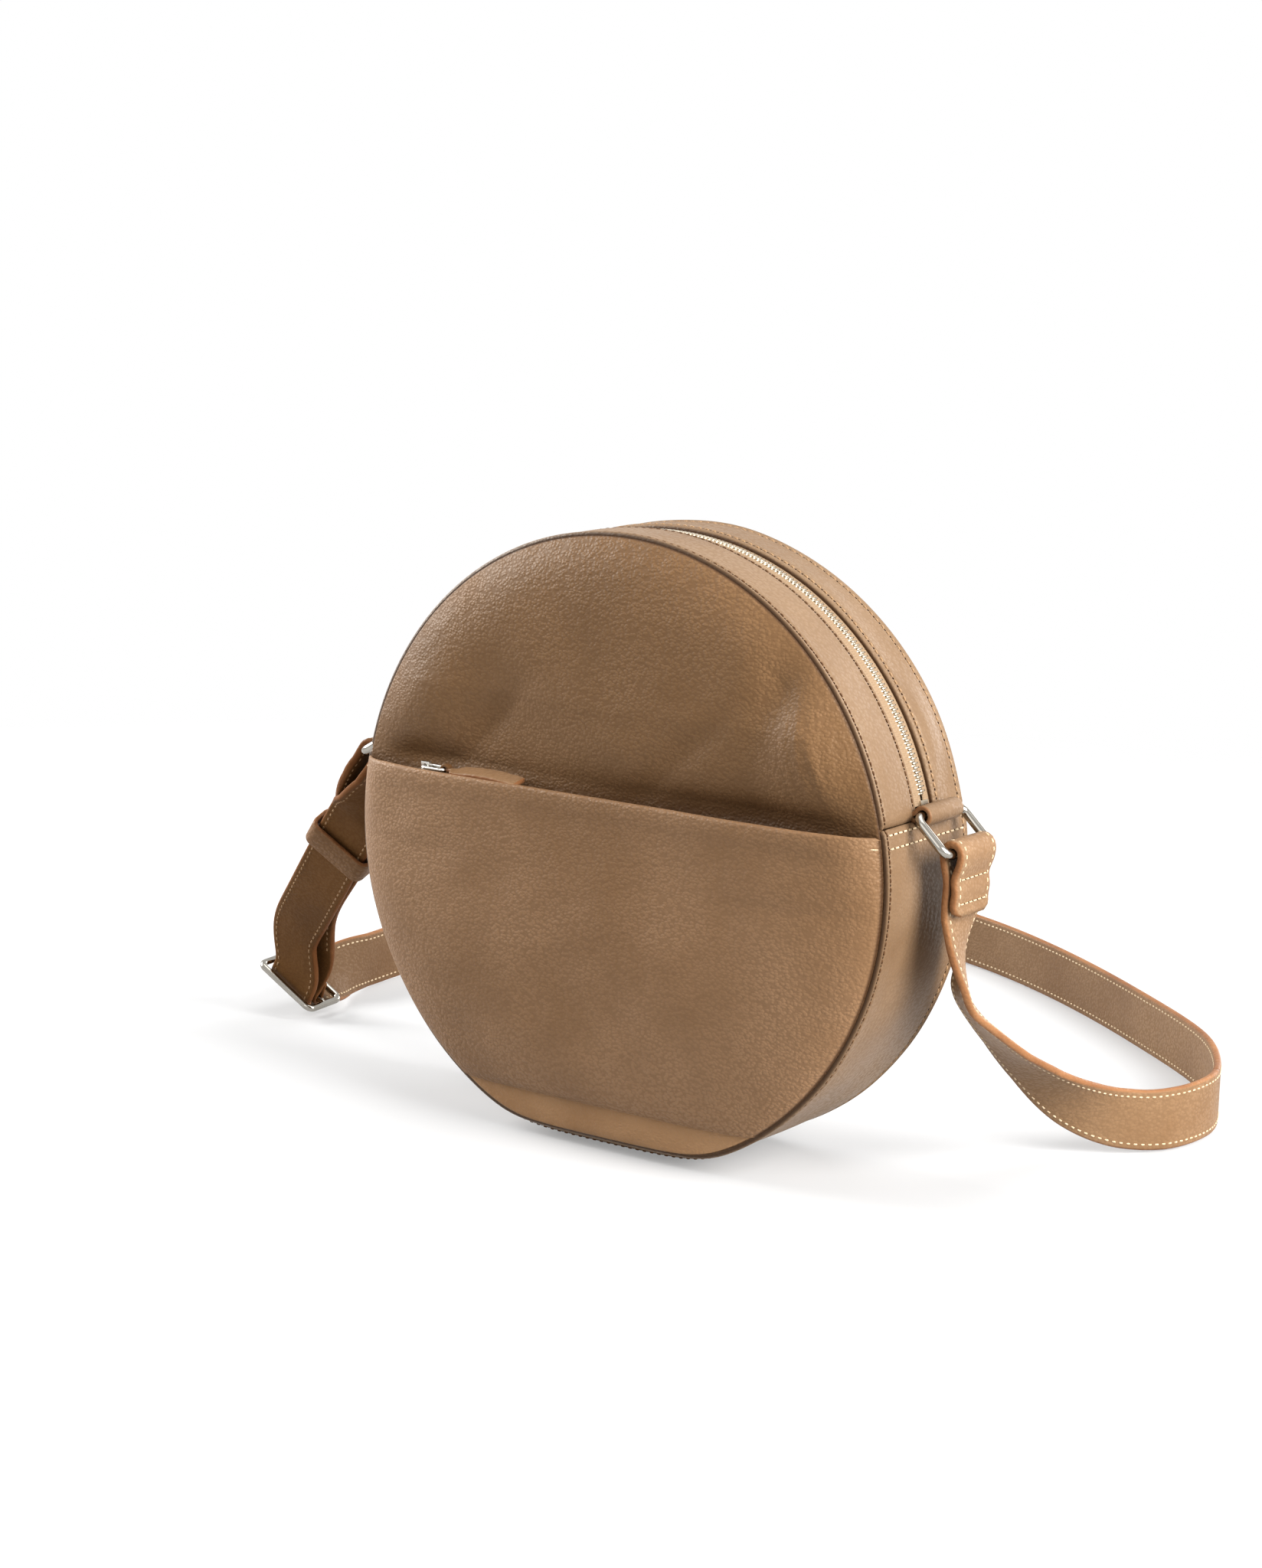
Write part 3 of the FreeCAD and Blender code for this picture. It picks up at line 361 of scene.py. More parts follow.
# Thread, metal and cloth
def threadOf(name, light, dark, gloss=0.35):
    # twisted thread: fine specks of two tones, a little raised
    material, tree, shader = newMaterial(name)
    speck = noiseOf(tree, objectPlace(tree), 1800.0, 1.0).outputs["Fac"]
    colour = mixColour(tree, rampOf(tree, speck, 0.35, 0.65), dark, light)
    fill(tree, shader, Base_Color=colour, Roughness=0.65, Specular_IOR_Level=gloss)
    bumpInto(tree, shader, speck, 0.4, 0.0002)
    return material


creamThread = threadOf("creamThread", (0.70, 0.56, 0.38), (0.50, 0.36, 0.21))
tanThread = threadOf("tanThread", (0.36, 0.22, 0.11), (0.26, 0.145, 0.066))
# dark thread on the front seam rows and the front strip's zip-side row: painted shade of the stitch holes,
# darker than the back rows' thread
seamThread = threadOf("seamThread", (0.115, 0.056, 0.024), (0.070, 0.032, 0.013), gloss=0.1)
# dark discs over the needle holes: painted shade
holeShade = threadOf("holeShade", (0.022, 0.009, 0.004), (0.014, 0.006, 0.003), gloss=0.0)


def metalOf(name, dark, light, rough, spread):
    # polished plating with faint scratches and dull patches
    material, tree, shader = newMaterial(name)
    place = objectPlace(tree)
    patch = noiseOf(tree, place, 160.0, 3.0).outputs["Fac"]
    fine = noiseOf(tree, place, 3500.0, 2.0).outputs["Fac"]
    fill(tree, shader, Base_Color=mixColour(tree, patch, dark, light), Metallic=1.0,
         Roughness=scaled(tree, patch, spread, rough))
    bumpInto(tree, shader, fine, 0.05, 0.0001)
    return material


nickel = metalOf("nickelWire", (0.29, 0.27, 0.235), (0.40, 0.375, 0.335), rough=0.07, spread=0.10)
sliderMetal = metalOf("sliderMetal", (0.60, 0.58, 0.54), (0.76, 0.74, 0.70), rough=0.18, spread=0.12)
toothMetal = metalOf("toothMetal", (0.42, 0.355, 0.265), (0.60, 0.53, 0.42), rough=0.24, spread=0.15)


def clothOf(name, dark, light, weave):
    # weave: three crossed sets of fine waves over a cloudy tone
    material, tree, shader = newMaterial(name)
    place = objectPlace(tree)
    ribs = 0.0
    for way in "XYZ":
        wave = node(tree, "TexWave", bands_direction=way, Vector=place, Scale=weave, Distortion=0.6)
        ribs = mathOf(tree, "ADD", wave.outputs["Fac"], ribs)
    ribs = scaled(tree, ribs, 0.33)
    patch = noiseOf(tree, place, 60.0, 3.0).outputs["Fac"]
    tone = scaled(tree, mathOf(tree, "ADD", ribs, patch), 0.6)
    tone.node.use_clamp = True
    fill(tree, shader, Base_Color=mixColour(tree, tone, dark, light), Roughness=0.85)
    bumpInto(tree, shader, ribs, 0.5, 0.0003)
    return material


tapeCloth = clothOf("tapeCloth", (0.20, 0.125, 0.066), (0.32, 0.215, 0.125), weave=420.0)
print("finishes ready")

# Front and back of the bag
bag = {"seamRadius": 121.0, "seamDepth": 29.5, "crown": 122.2, "panelRise": 3.5, "flatRadius": 84.0,
       "rimRoll": 0.7, "wall": 2.4, "zipShift": 4.0, "seamAngle": 12.0, "frontEdge": 7.5, "backEdge": 4.7}
foot = {"level": -0.5, "rise": 5.6, "soft": 2.4}
seamRadius, seamDepth, crownRadius = bag["seamRadius"], bag["seamDepth"], bag["crown"]


def settle(points):
    # soft floor: heights sink only down to a level that is higher towards the two faces of the bag
    p = np.array(points, float)
    share = np.clip(np.abs(p[..., 1]) / seamDepth, 0, 1.2)
    level = foot["level"] + foot["rise"] * share ** 5
    p[..., 2] = level + foot["soft"] * np.logaddexp(0, (p[..., 2] - level) / foot["soft"])
    return p


def polar(radius, angle, depth):
    # point at a radius and angle about the bag axis
    a = np.radians(angle)
    return np.stack(np.broadcast_arrays(radius * np.cos(a), depth, radius * np.sin(a) + bagMiddle[2]), -1)


def faceDepth(radius):
    # flat middle, a curve that turns in towards the seam like the end of an oval, and a tight roll at the rim
    q = climb(radius, bag["flatRadius"], seamRadius - bag["flatRadius"])
    bulge = (bag["panelRise"] - bag["rimRoll"]) * (1 - q ** 2.5)
    return seamDepth + bag["rimRoll"] + bulge - bag["rimRoll"] * roundFall(radius - (seamRadius - 1.0))


# each dent: how deep, place and half width across, place and half height up, lean of its axis
frontDents = ((3.4, 77.36, 10, 190, 26, 0.32),   # long valley to the right
              (-4.2, 94, 17, 168, 19, 0),        # swelling beside it
              (3.0, 66, 46, 142, 7, 0),          # hollow along the pocket mouth
              (3.2, -86, 18, 145, 7, 0),         # hollow by its left end
              (-2.8, -80, 18, 168, 15, 0.4),     # swelling above that
              (1.6, -54.4, 7, 164, 16, 0.9),     # crease beside the swelling
              (-2.0, 12, 24, 159, 12, 0),        # swelling over the middle of the mouth
              (1.7, 37.3, 8, 163, 18, 1.1))      # fold that slants up from there
pullRoom = ((5.4, -56, 30, 166, 22, 0),)         # flatter where the lifted pull stands
rightRipples = ((0.22, 88, 14, 166, 22, 0),)
leftRipples = ((0.20, -66, 16, 160, 14, 0),)
backDents = ((0.8, 30, 22, 120, math.inf, 0.4), (0.6, -40, 30, 60, 30, 0))


def dentsAt(x, z, dents):
    # sum of bells in x and z
    return sum(deep * bump(x - atX - lean * (z - atZ), 0, wide) * bump(z, atZ, tall)
               for deep, atX, wide, atZ, tall, lean in dents)


def frontFolds(x, z):
    # the dents, and fine ripples in a patch on each side
    right = np.sin((x + 0.2 * z) * 1.05 + 2 * bump(z, 170, 14)) * dentsAt(x, z, rightRipples)
    left = np.sin((x - 0.6 * z) * 0.95) * dentsAt(x, z, leftRipples)
    return dentsAt(x, z, frontDents) + right + left


def backFolds(x, z):
    return dentsAt(x, z, backDents)


# mouth and mouthDark: where the painted shadow in the pocket mouth sits and how dark it is; footTop and
# footFade: where the painted light below the pocket ends and how it fades
panel = {"pillow": 6.0, "pillowFrom": 146.0, "pillowClimb": 30.0, "calmRim": 14.0, "puckers": 60,
         "puckerDeep": 0.22, "mouth": 140.5, "mouthDark": 0.5, "footTop": 40.0, "footFade": 12.0}


def discPanel(name, sign, folds, seed):
    # disc given by radius and angle; the outer face is folded round its rim into the inner one
    radii = seamRadius * np.sin(np.linspace(0.02, 1, 90) * np.pi / 2)
    r, a = np.meshgrid(radii, np.linspace(0, 360, 401)[:-1], indexing="ij")
    flat = polar(r, a, 0 * r)
    x, z = flat[..., 0], flat[..., 2]
    rise = climb(z, panel["pillowFrom"], panel["pillowClimb"]) ** 0.8
    outer = faceDepth(r) + panel["pillow"] * np.clip(1 - (r / seamRadius) ** 11, 0, 1) * rise
    if sign < 0:
        outer = outer - dentsAt(x, z, pullRoom)
    fade = climb(-r, -seamRadius, panel["calmRim"])
    uneven = 0.7 * waves(flat, seed, 50) + 0.22 * waves(flat, seed + 2, 21)
    outer = outer - folds(x, z) * fade + uneven * fade
    pucker = 0.5 + 0.5 * np.sin(np.radians(a) * panel["puckers"] + 5 * waves(flat, seed + 1, 60))
    outer = outer - panel["puckerDeep"] * pucker * bump(r, seamRadius - 4, 3.5)
    inner = np.minimum(outer, faceDepth(r)) - bag["wall"]
    inner[-1] = outer[-1] - 0.6
    rows = np.concatenate([polar(r, a, sign * outer), polar(r, a, sign * inner)[::-1]])
    points, faces = tubeOf(settle(rows))
    # painted shade along the seam at the rim
    shade = bump(r, seamRadius, 0.42)
    paintedLight = 0 * r
    if sign < 0:
        # painted shadow darkens the front into the pocket mouth, and painted light makes it paler below the
        # pocket
        height = z + 0.8 * waves(flat, 71, 22)
        amount = panel["mouthDark"] + 0.3 * climb(x, -30, 60)
        reach = 5.0 + 4.5 * climb(x, -40, 60) * climb(-x, -112, 30)
        mouth = amount * climb(panel["mouth"] + reach - height, 0, reach) ** 1.3
        shade = np.maximum(shade, mouth * (height > 90))
        paintedLight = climb(-z, -panel["footTop"], panel["footFade"]) * (shade < 0.3)
    paintedLight, shade = (np.concatenate([v.ravel(), 0 * v.ravel(), [0, 0]]) for v in (paintedLight, shade))
    turned = faces if sign < 0 else flipped(faces)
    return makePiece(name, points, turned, panelLeather, (paintedLight, shade))


frontFace = discPanel("frontFace", sign=-1.0, folds=frontFolds, seed=3)
backFace = discPanel("backFace", sign=1.0, folds=backFolds, seed=9)
sides = ((frontFace, ("front_panel", "front_lining")), (backFace, ("back_panel", "back_lining")))
for piece, nodes in sides:
    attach(piece, "bag")
    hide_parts(*nodes)
print("front and back made")

# Gusset
gusset = {"fall": 1.1, "fallOver": 0.9, "ridge": 0.3, "seamRow": 2.7, "zipRoll": 1.7, "zipRollOver": 2.2,
          "zipRow": 2.6, "groove": 0.3, "endRoll": 0.9, "endRollOver": 1.4, "puckers": 118,
          "puckerDeep": 0.16, "creaseDeep": 0.10}


def shoulder(away):
    # drop of the gusset at a distance from its seam: a quick round fall, a ridge, then a stitch groove
    fall = gusset["fall"] * roundFall(1 - away / gusset["fallOver"]) - gusset["ridge"] * bump(away, 0.9, 0.6)
    groove = gusset["groove"] * np.exp(-((away - gusset["seamRow"]) / 0.75) ** 4)
    return fall + groove - 0.12 * bump(away, 4.2, 1.0)


def gussetBand(name, fromAngle, toAngle, front, back, zipSide, seed, lift, steps, soft, least=0.35):
    # band carried round the bag axis; its outline runs over the outside from front to back, then back inside;
    # zipSide is 1 where the back edge lies at the zip, -1 where the front edge does
    across = np.sin(np.linspace(-1, 1, 111) * np.pi / 2)
    depth = (front + back) / 2 + (back - front) / 2 * across
    a, y = np.meshgrid(np.linspace(fromAngle, toAngle, steps), depth, indexing="ij")
    flat = polar(crownRadius + 0 * a, a, y)
    fromSeam = seamDepth - np.abs(y)
    drop = shoulder(fromSeam)
    calm = np.clip(fromSeam / 9, least, 1)
    # painted shade along the seam crevice
    paintedShade = bump(fromSeam, 0, 0.55)
    if zipSide:
        fromZip = back - y if zipSide > 0 else y - front
        drop = drop + gusset["zipRoll"] * roundFall(1 - fromZip / gusset["zipRollOver"])
        drop = drop + gusset["groove"] * np.exp(-((fromZip - gusset["zipRow"]) / 0.9) ** 4)
        calm = calm * climb(fromZip, 0, 8)
    if zipSide < 0:
        # painted shade on the back strip's turned edge beside the zip
        paintedShade = np.maximum(paintedShade, bump(fromZip, 0, 0.35))
    crown = crownRadius + lift - drop + soft * np.maximum(waves(flat, seed, 44), -0.5) * calm
    # fine creases along the band, in patches
    patch = np.clip(waves(flat, seed + 7, 42), 0, 1) * climb(fromSeam, 6, 3)
    crown = crown + gusset["creaseDeep"] * np.sin(2.1 * y + 4 * waves(flat, seed + 5, 26)) * patch
    pucker = 0.5 + 0.5 * np.sin(np.radians(a) * gusset["puckers"])
    crown = crown - gusset["puckerDeep"] * pucker * bump(fromSeam, 3.6, 1.6)
    fromEnd = np.radians(np.minimum(np.abs(a - fromAngle), np.abs(a - toAngle))) * crownRadius
    crown = crown - gusset["endRoll"] * roundFall(1 - fromEnd / gusset["endRollOver"])
    inside = np.minimum(crown, crownRadius) - bag["wall"] + 0.45 * (crown < crownRadius - 2)
    points, faces = tubeOf(settle(np.concatenate([polar(crown, a, y), polar(inside, a, y)[:, ::-1]], 1)))
    shade = np.concatenate([np.concatenate([paintedShade, 0 * y], 1).ravel(), [0, 0]])
    made = makePiece(name, points, flipped(faces), gussetLeather, (0 * shade, shade))
    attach(made, "bag")
    return made, crown, a, y


low, high = bag["seamAngle"], 180 - bag["seamAngle"]
zipFront, zipBack = bag["zipShift"] - bag["frontEdge"], bag["zipShift"] + bag["backEdge"]
start, finish = low + 0.2, high - 0.2
frontStrip = gussetBand("frontStrip", start, finish, -seamDepth, zipFront, zipSide=1, seed=21, lift=0.0,
                        steps=180, soft=0.7, least=0.0)
backStrip = gussetBand("backStrip", start, finish, zipBack, seamDepth, zipSide=-1, seed=22, lift=0.0,
                       steps=180, soft=2.2)
lowerBand = gussetBand("lowerBand", high, 360 + low, -seamDepth, seamDepth, zipSide=0, seed=23, lift=0.35,
                       steps=240, soft=1.0)
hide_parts("upper_gusset_front")
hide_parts("upper_gusset_back")
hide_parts("lower_gusset", "gusset_lining")
print("gusset made")

# Front pocket
pocket = {"top": 141.0, "bottom": 20.0, "room": 8.2, "sag": 0.34, "wall": 1.9, "fold": 1.1}
pocketDents = ((0.9, 88, 12, 132, 10, 0), (0.7, -96, 10, 126, 14, 0))


def pocketFace(x, z):
    # front panel plus the leather, swelled by a pillow that dies out at the side seams and the bottom seam
    r = np.hypot(x, z - bagMiddle[2])
    side = np.clip(1 - (r / seamRadius) ** (5 + 7 * climb(z, 112, 24)), 0, 1)
    rim = np.sqrt(1 - climb(r, 104, seamRadius - 104) ** 4)
    heel = np.sqrt(1 - (1 - climb(z, pocket["bottom"], 34.0)) ** 2.4)
    sag = 1 + pocket["sag"] * bump(z, 82, 38)
    return faceDepth(r) + pocket["wall"] * rim + 0.2 + pocket["room"] * side * heel * sag


def pocketPiece():
    # sheet over x and z: each row is as wide as the circle at its height; half circles join its two faces
    z = pocket["bottom"] + (pocket["top"] - pocket["bottom"]) * np.linspace(0, 1, 110)
    half = np.sqrt(seamRadius ** 2 - (z - bagMiddle[2]) ** 2)
    x = half[:, None] * np.sin(np.linspace(-1, 1, 161) * np.pi / 2)
    z = np.broadcast_to(z[:, None], x.shape)
    flat = np.stack([x, 0 * x, z], -1)
    r = np.hypot(x, z - bagMiddle[2])
    calm = climb(-r, -seamRadius, 16) * climb(z, pocket["bottom"], 14)
    outer = pocketFace(x, z) + 0.9 * waves(flat, 31, 54) * calm + 0.32 * waves(flat, 32, 23) * calm
    outer = outer - dentsAt(x, z, pocketDents) + 0.5 * bump(z, 138, 4) * calm
    wall = pocket["wall"] + pocket["fold"] * climb(z, 130, 3) * calm
    inner = np.minimum(np.maximum(outer - wall, faceDepth(r) + 0.15), outer - 0.25)

    def turnedOver(row, way, steps):
        # half circle from one face to the other along the top or the bottom row
        turn = np.linspace(0, np.pi, steps)[1:-1, None]
        middle, reach = (outer[row] + inner[row]) / 2, (outer[row] - inner[row]) / 2
        deep = middle + way * reach * np.cos(turn)
        return np.stack(np.broadcast_arrays(x[row], -deep, z[row] + way * reach * np.sin(turn)), -1)

    front = np.stack([x, -outer, z], -1)
    back = np.stack([x, -inner, z], -1)[::-1]
    rows = settle(np.concatenate([front, turnedOver(-1, 1, 8), back, turnedOver(0, -1, 6)]))
    n, cols = rows.shape[:2]
    faces = gridFaces(n, cols, wrapRows=True)
    # both side edges are closed by a narrow strip between the outer and the inner face
    i = np.arange(n // 2 - 1)
    for col in (0, cols - 1):
        loop = np.arange(n) * cols + col
        quads = np.stack([loop[i], loop[i + 1], loop[(n - 2 - i) % n], loop[n - 1 - i]], -1).tolist()
        faces += flipped(quads) if col else quads
    # painted shade along the seam at the rim
    shade = np.concatenate([bump(r, seamRadius, 0.42).ravel(), np.zeros(n * cols - x.size)])
    made = makePiece("pocketFront", rows.reshape(-1, 3), faces, pocketLeather, (0 * shade, shade))
    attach(made, "bag")
    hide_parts("front_pocket")


pocketPiece()
print("pocket made")

# Stitches
sewing = {"seam": {"pitch": 3.4, "fat": 0.42, "share": 0.33, "hollow": 0.14, "spread": 1.4},
          "tack": {"pitch": 2.4, "fat": 0.28, "share": 0.40, "hollow": 0.0, "spread": 1.4},
          "cross": {"pitch": 3.3, "fat": 0.40, "share": 0.36, "hollow": 0.12, "spread": 0.9},
          "strap": {"pitch": 3.1, "fat": 0.38, "share": 0.34, "hollow": 0.18, "spread": 1.4},
          "end": {"pitch": 3.0, "fat": 0.32, "share": 0.38, "hollow": 0.12, "spread": 0.9}}


def stitchRow(name, path, normals, thread, kind, body, blendTo=None):
    # short threads laid end to end, each an arched capsule whose ends go down into the leather, with a dark
    # oval between neighbours, painted shade of the needle hole; share and hollow are their half lengths over
    # the pitch, spread is half the dark oval's width over the thread's radius
    look = sewing[kind]
    fat = look["fat"]
    run = runOf(chords(path))
    count = max(1, int(run[-1] / look["pitch"]))
    step = run[-1] / count
    ways = alongPath(path)

    def laid(shape, faces, places):
        middle, normal, way = (np.stack([np.interp(places, run, v[:, k]) for k in range(3)], -1)
                               for v in (path, normals, ways))
        normal, way = unit(normal), unit(way)
        return copiesOf(shape, faces, middle, way, unit(np.cross(normal, way)), normal)

    u = np.linspace(-1, 1, 6)[:, None]
    a = np.arange(6) * np.pi / 3
    thick = fat * np.sqrt(np.clip(1 - np.abs(u) ** 5, 0.05, 1))
    arch = fat * 0.45 - fat * 1.1 * u ** 4
    rings = np.broadcast_arrays(u * step * look["share"], thick * np.cos(a), thick * np.sin(a) * 0.8 + arch)
    capsule = np.stack(rings, -1).reshape(-1, 3)
    faces = gridFaces(6, 6, wrapCols=True) + [[5, 4, 3, 2, 1, 0], [30, 31, 32, 33, 34, 35]]
    sewn = [makePiece(name, *laid(capsule, faces, (np.arange(count) + 0.5) * step), thread)]
    # dark ovals standing for the shade in the needle holes: painted shade
    if look["hollow"] > 0:
        a = np.arange(8) * np.pi / 4
        long, wide = step * look["hollow"], fat * look["spread"]
        oval = np.stack([np.cos(a) * long, np.sin(a) * wide, np.full(8, 0.03)], -1)
        fan = [[0, i + 1, (i + 1) % 8 + 1] for i in range(8)]
        shadeOvals = laid(np.concatenate([[[0, 0, 0.08]], oval]), fan, np.arange(count + 1) * step)
        sewn.append(makePiece(name + "HoleShades", *shadeOvals, holeShade))
    for made in sewn:
        if blendTo:
            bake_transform(made)
        else:
            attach(made, body)


def outwards(angle):
    return polar(np.ones_like(angle), angle, 0 * angle) - bagMiddle


def sewAlong(name, band, depth, start, finish, thread):
    # row on a gusset band at one depth, lifted to the band's worked-out radius
    crown, angle, y = band[1:]
    j = int(np.argmin(np.abs(y[0] - depth)))
    keep = (angle[:, j] >= start) & (angle[:, j] <= finish)
    a = angle[keep, j]
    stitchRow(name, settle(polar(crown[keep, j], a, y[keep, j])), outwards(a), thread, "seam", "bag")


def sewAcross(name, angleAt):
    # row over the lower gusset at one angle
    crown, angle, y = lowerBand[1:]
    i = int(np.argmin(np.abs(angle[:, 0] - angleAt)))
    keep = np.abs(y[i]) < seamDepth - 2.9
    a = np.full(keep.sum(), angleAt)
    stitchRow(name, settle(polar(crown[i, keep], a, y[i, keep])), outwards(a), creamThread, "cross", "bag")


def sewMouth(name, side, z=138.2):
    # short tack at one end of the pocket mouth
    reach = math.sqrt(seamRadius ** 2 - (z - bagMiddle[2]) ** 2)
    x = side * np.linspace(reach - 2.6, reach - 0.2, 8)
    line = np.stack([x, -pocketFace(x, np.full(8, z)), z - 0.12 * np.abs(x) + 0.12 * (reach - 4)], -1)
    stitchRow(name, line, np.tile([side * 0.5, -0.87, 0], (8, 1)), creamThread, "tack", "bag")


seamRow = seamDepth - gusset["seamRow"]
sewAlong("frontStripSeam", frontStrip, -seamRow, low + 1, high - 1, seamThread)
sewAlong("backStripSeam", backStrip, seamRow, low + 1, high - 1, tanThread)
sewAlong("lowerFrontSeam", lowerBand, -seamRow, high, 360 + low, seamThread)
sewAlong("lowerBackSeam", lowerBand, seamRow, high, 360 + low, tanThread)
sewAlong("frontStripEdge", frontStrip, zipFront - gusset["zipRow"], low + 2, high - 2, seamThread)
sewAlong("backStripEdge", backStrip, zipBack + gusset["zipRow"], low + 2, high - 2, tanThread)
sewMouth("mouthTack-1138", -1)
sewMouth("mouthTack1138", 1)
for side, seam, way in (("Left", high, 1), ("Right", 360 + low, -1)):
    for row, below in enumerate((2.2, 7.2)):   # millimetres below the side seam
        sewAcross("crossRow" + side + str(row), seam + way * below / crownRadius * 180 / math.pi)
print("bag sewn")

# Strap
strap = {"wide": 25.0, "thick": 3.0, "corner": 1.25, "stitch": 2.6, "groove": 0.22, "stand": 12.8, "tip": 4.0,
         "thin": 0.47, "layerStep": 5.4, "ringBend": 3.65, "barBend": 2.35, "passUnder": 6.0,
         "passDown": 5.775}
ringRight = np.array([136.330, 4.0, 134.744])
ringLeft = np.array([-138.595, 4.0, 137.749])
stand, layerStep, ringBend, barBend = (strap[key] for key in ("stand", "layerStep", "ringBend", "barBend"))
passUnder, passDown = strap["passUnder"], strap["passDown"]


def squareTo(v, way):
    # the part of v that stands square to a way
    return unit(v - way * (v @ way))


buckleMiddle = np.array([-226.0, 51.0, 14.217])
buckleAcross = unit(np.array([0.86, 0.02, -0.5]))
buckleAlong = squareTo(np.array([0.0, 1.0, 0.06]), buckleAcross)
buckleDown = unit(np.cross(buckleAlong, buckleAcross))
keeperSpot = np.array([-174.0, 16.0, 88.0])
keeperAlong = unit(np.array([0.643, -0.279, 0.714]))
keeperAcross = squareTo(np.array([0.96, 0.1, -0.22]), keeperAlong)
keeperThrough = np.cross(keeperAlong, keeperAcross)
foldTurn = math.radians(125.0)
foldAlong = np.array([math.cos(foldTurn), 0, -math.sin(foldTurn)])
foldSide = np.array([math.sin(foldTurn), 0, math.cos(foldTurn)])
downWay = (0, 0, -1)


def byRing(x, z):
    return ringRight + np.array([x, 0, z]), deepWay


def onFloor(x, y):
    return (x, y, stand), downWay


def byBuckle(along, up):
    return buckleMiddle + buckleAlong * along - buckleDown * up, buckleAcross


def byKeeper(step, along):
    return keeperSpot + keeperThrough * (layerStep * step) + keeperAlong * (21.0 * along), keeperAcross


def byFold(side, further, way=deepWay):
    return ringLeft + foldAlong * (8.35 + further) + foldSide * (ringBend * side), way


def roundRing(angle):
    a = math.radians(angle)
    return ringLeft + foldAlong * (ringBend * math.cos(a)) + foldSide * (ringBend * math.sin(a)), deepWay


# the strap's line runs through stations, each a point and the way across the strap there
rightStations = [
    *(byRing(x, z) for x, z in (
        (1.9, -23.5), (1.3, -18.8), (1.8, -14.2), (1.3, -9.6), (3.0, -4.5), (ringBend, 0.3), (2.58, 2.58),
        (0, ringBend), (-2.58, 2.58), (-ringBend, 0), (-3.1, -5), (-1.9, -10.5), (-2.1, -17),
        (-2.1, -24.35))),
    ((133.6, 5.5, 98), (-0.3, 0.95, 0)), ((133, 10, 85.2), (-0.55, 0.83, 0)),
    ((131.7, 16, 75), (-0.68, 0.73, 0)), ((132.4, 28, 63.5), (-0.78, 0.62, -0.05)),
    ((134.8, 44, 50.5), (-0.8, 0.56, -0.2)), ((138.9, 62, 36.5), (-0.72, 0.46, -0.5)),
    ((146.7, 80, 23), (-0.46, 0.26, -0.84)), ((158, 98, 14.8), (-0.14, 0.06, -1)),
    onFloor(169, 115), onFloor(173.5, 136)]
runStations = [
    *(onFloor(x, y) for x, y in (
        (171, 153), (160, 176), (140, 203), (98, 239), (57, 270), (-1, 307), (-62, 333), (-120, 338),
        (-175, 310), (-212, 255), (-230, 190), (-234, 130), (-232, 104))),
    ((-230, 84, stand), (0.3, 0, -1)), byBuckle(14, -passUnder), byBuckle(passDown * 0.6, -passUnder),
    byBuckle(-passDown * 0.5, -passUnder * 0.8), byBuckle(-passDown, 0)]
leftStations = [
    byBuckle(-passDown - 0.5, 7), ((-221, 42.5, 29), (0.82, 0.04, -0.5)),
    ((-219, 39.5, 39), (0.88, 0.05, -0.42)), ((-209, 33.5, 51), (0.93, 0.05, -0.3)),
    byKeeper(0, -1), byKeeper(0, 1), ((-150.5, 6, 113.5), (0.6, 0.8, -0.1)),
    byFold(1, 5, (0.05, 1, 0)), byFold(1, 0.3), *(roundRing(angle) for angle in (90, 135, 180, 225, 270)),
    byFold(-1, 0.3), byFold(-1, 5, (0.05, 1, 0)), ((-155.4, 10.2, 115.8), (0.5, 0.86, -0.12)),
    byKeeper(1, 1), byKeeper(1, -1), ((-208, 39, 53), (0.93, 0.05, -0.3)),
    ((-214, 46, 38), (0.85, 0.05, -0.5)),
    *(byBuckle(along, up) for along, up in (
        (-0.9, 16.6), (-0.8, 10), (-1.3, 5), (-barBend, 0.5), (-1.66, -1.66), (0, -barBend), (1.66, -1.66),
        (barBend, 0.5), (1.2, 4.5), (0.75, 8.2)))]
wholeStations = rightStations + runStations + leftStations
runStart = len(rightStations)
runEnd = runStart + len(runStations) - 1
strapEnd = len(wholeStations) - 1
strapAt, strapTimes = splineThrough([p for p, way in wholeStations], (0, 0, 1), -buckleDown)
strapWays = unit(np.array([way for p, way in wholeStations], float))


def strapFrame(times):
    # middle line, way across (turning evenly from station to station) and way through the strap
    middle = strapAt(times)
    along = unit(strapAt(times + 0.01) - strapAt(times - 0.01))
    i = np.clip(np.searchsorted(strapTimes, times, side="right") - 1, 0, len(strapTimes) - 2)
    share = ((times - strapTimes[i]) / (strapTimes[i + 1] - strapTimes[i]))[:, None]
    wide = strapWays[i] * (1 - share) + strapWays[i + 1] * share
    wide = unit(wide - along * (wide * along).sum(-1, keepdims=True))
    return middle, wide, np.cross(along, wide)


def strapOutline():
    # rounded flat outline with more points on its two faces and a shallow groove under each stitch row
    outline = roundedBox(strap["wide"], strap["thick"], strap["corner"], 4)
    flat = np.linspace(-1, 1, 11)[1:-1]
    top = np.stack([-flat * (strap["wide"] / 2 - strap["corner"]), np.full(9, strap["thick"] / 2)], -1)
    quarter = len(outline) // 4
    right, left, last = np.split(outline, [quarter, 3 * quarter])
    u, v = np.concatenate([right, top, left, -top, last]).T
    return u, v - np.sign(v) * strap["groove"] * bump(np.abs(u), strap["wide"] / 2 - strap["stitch"], 0.9)


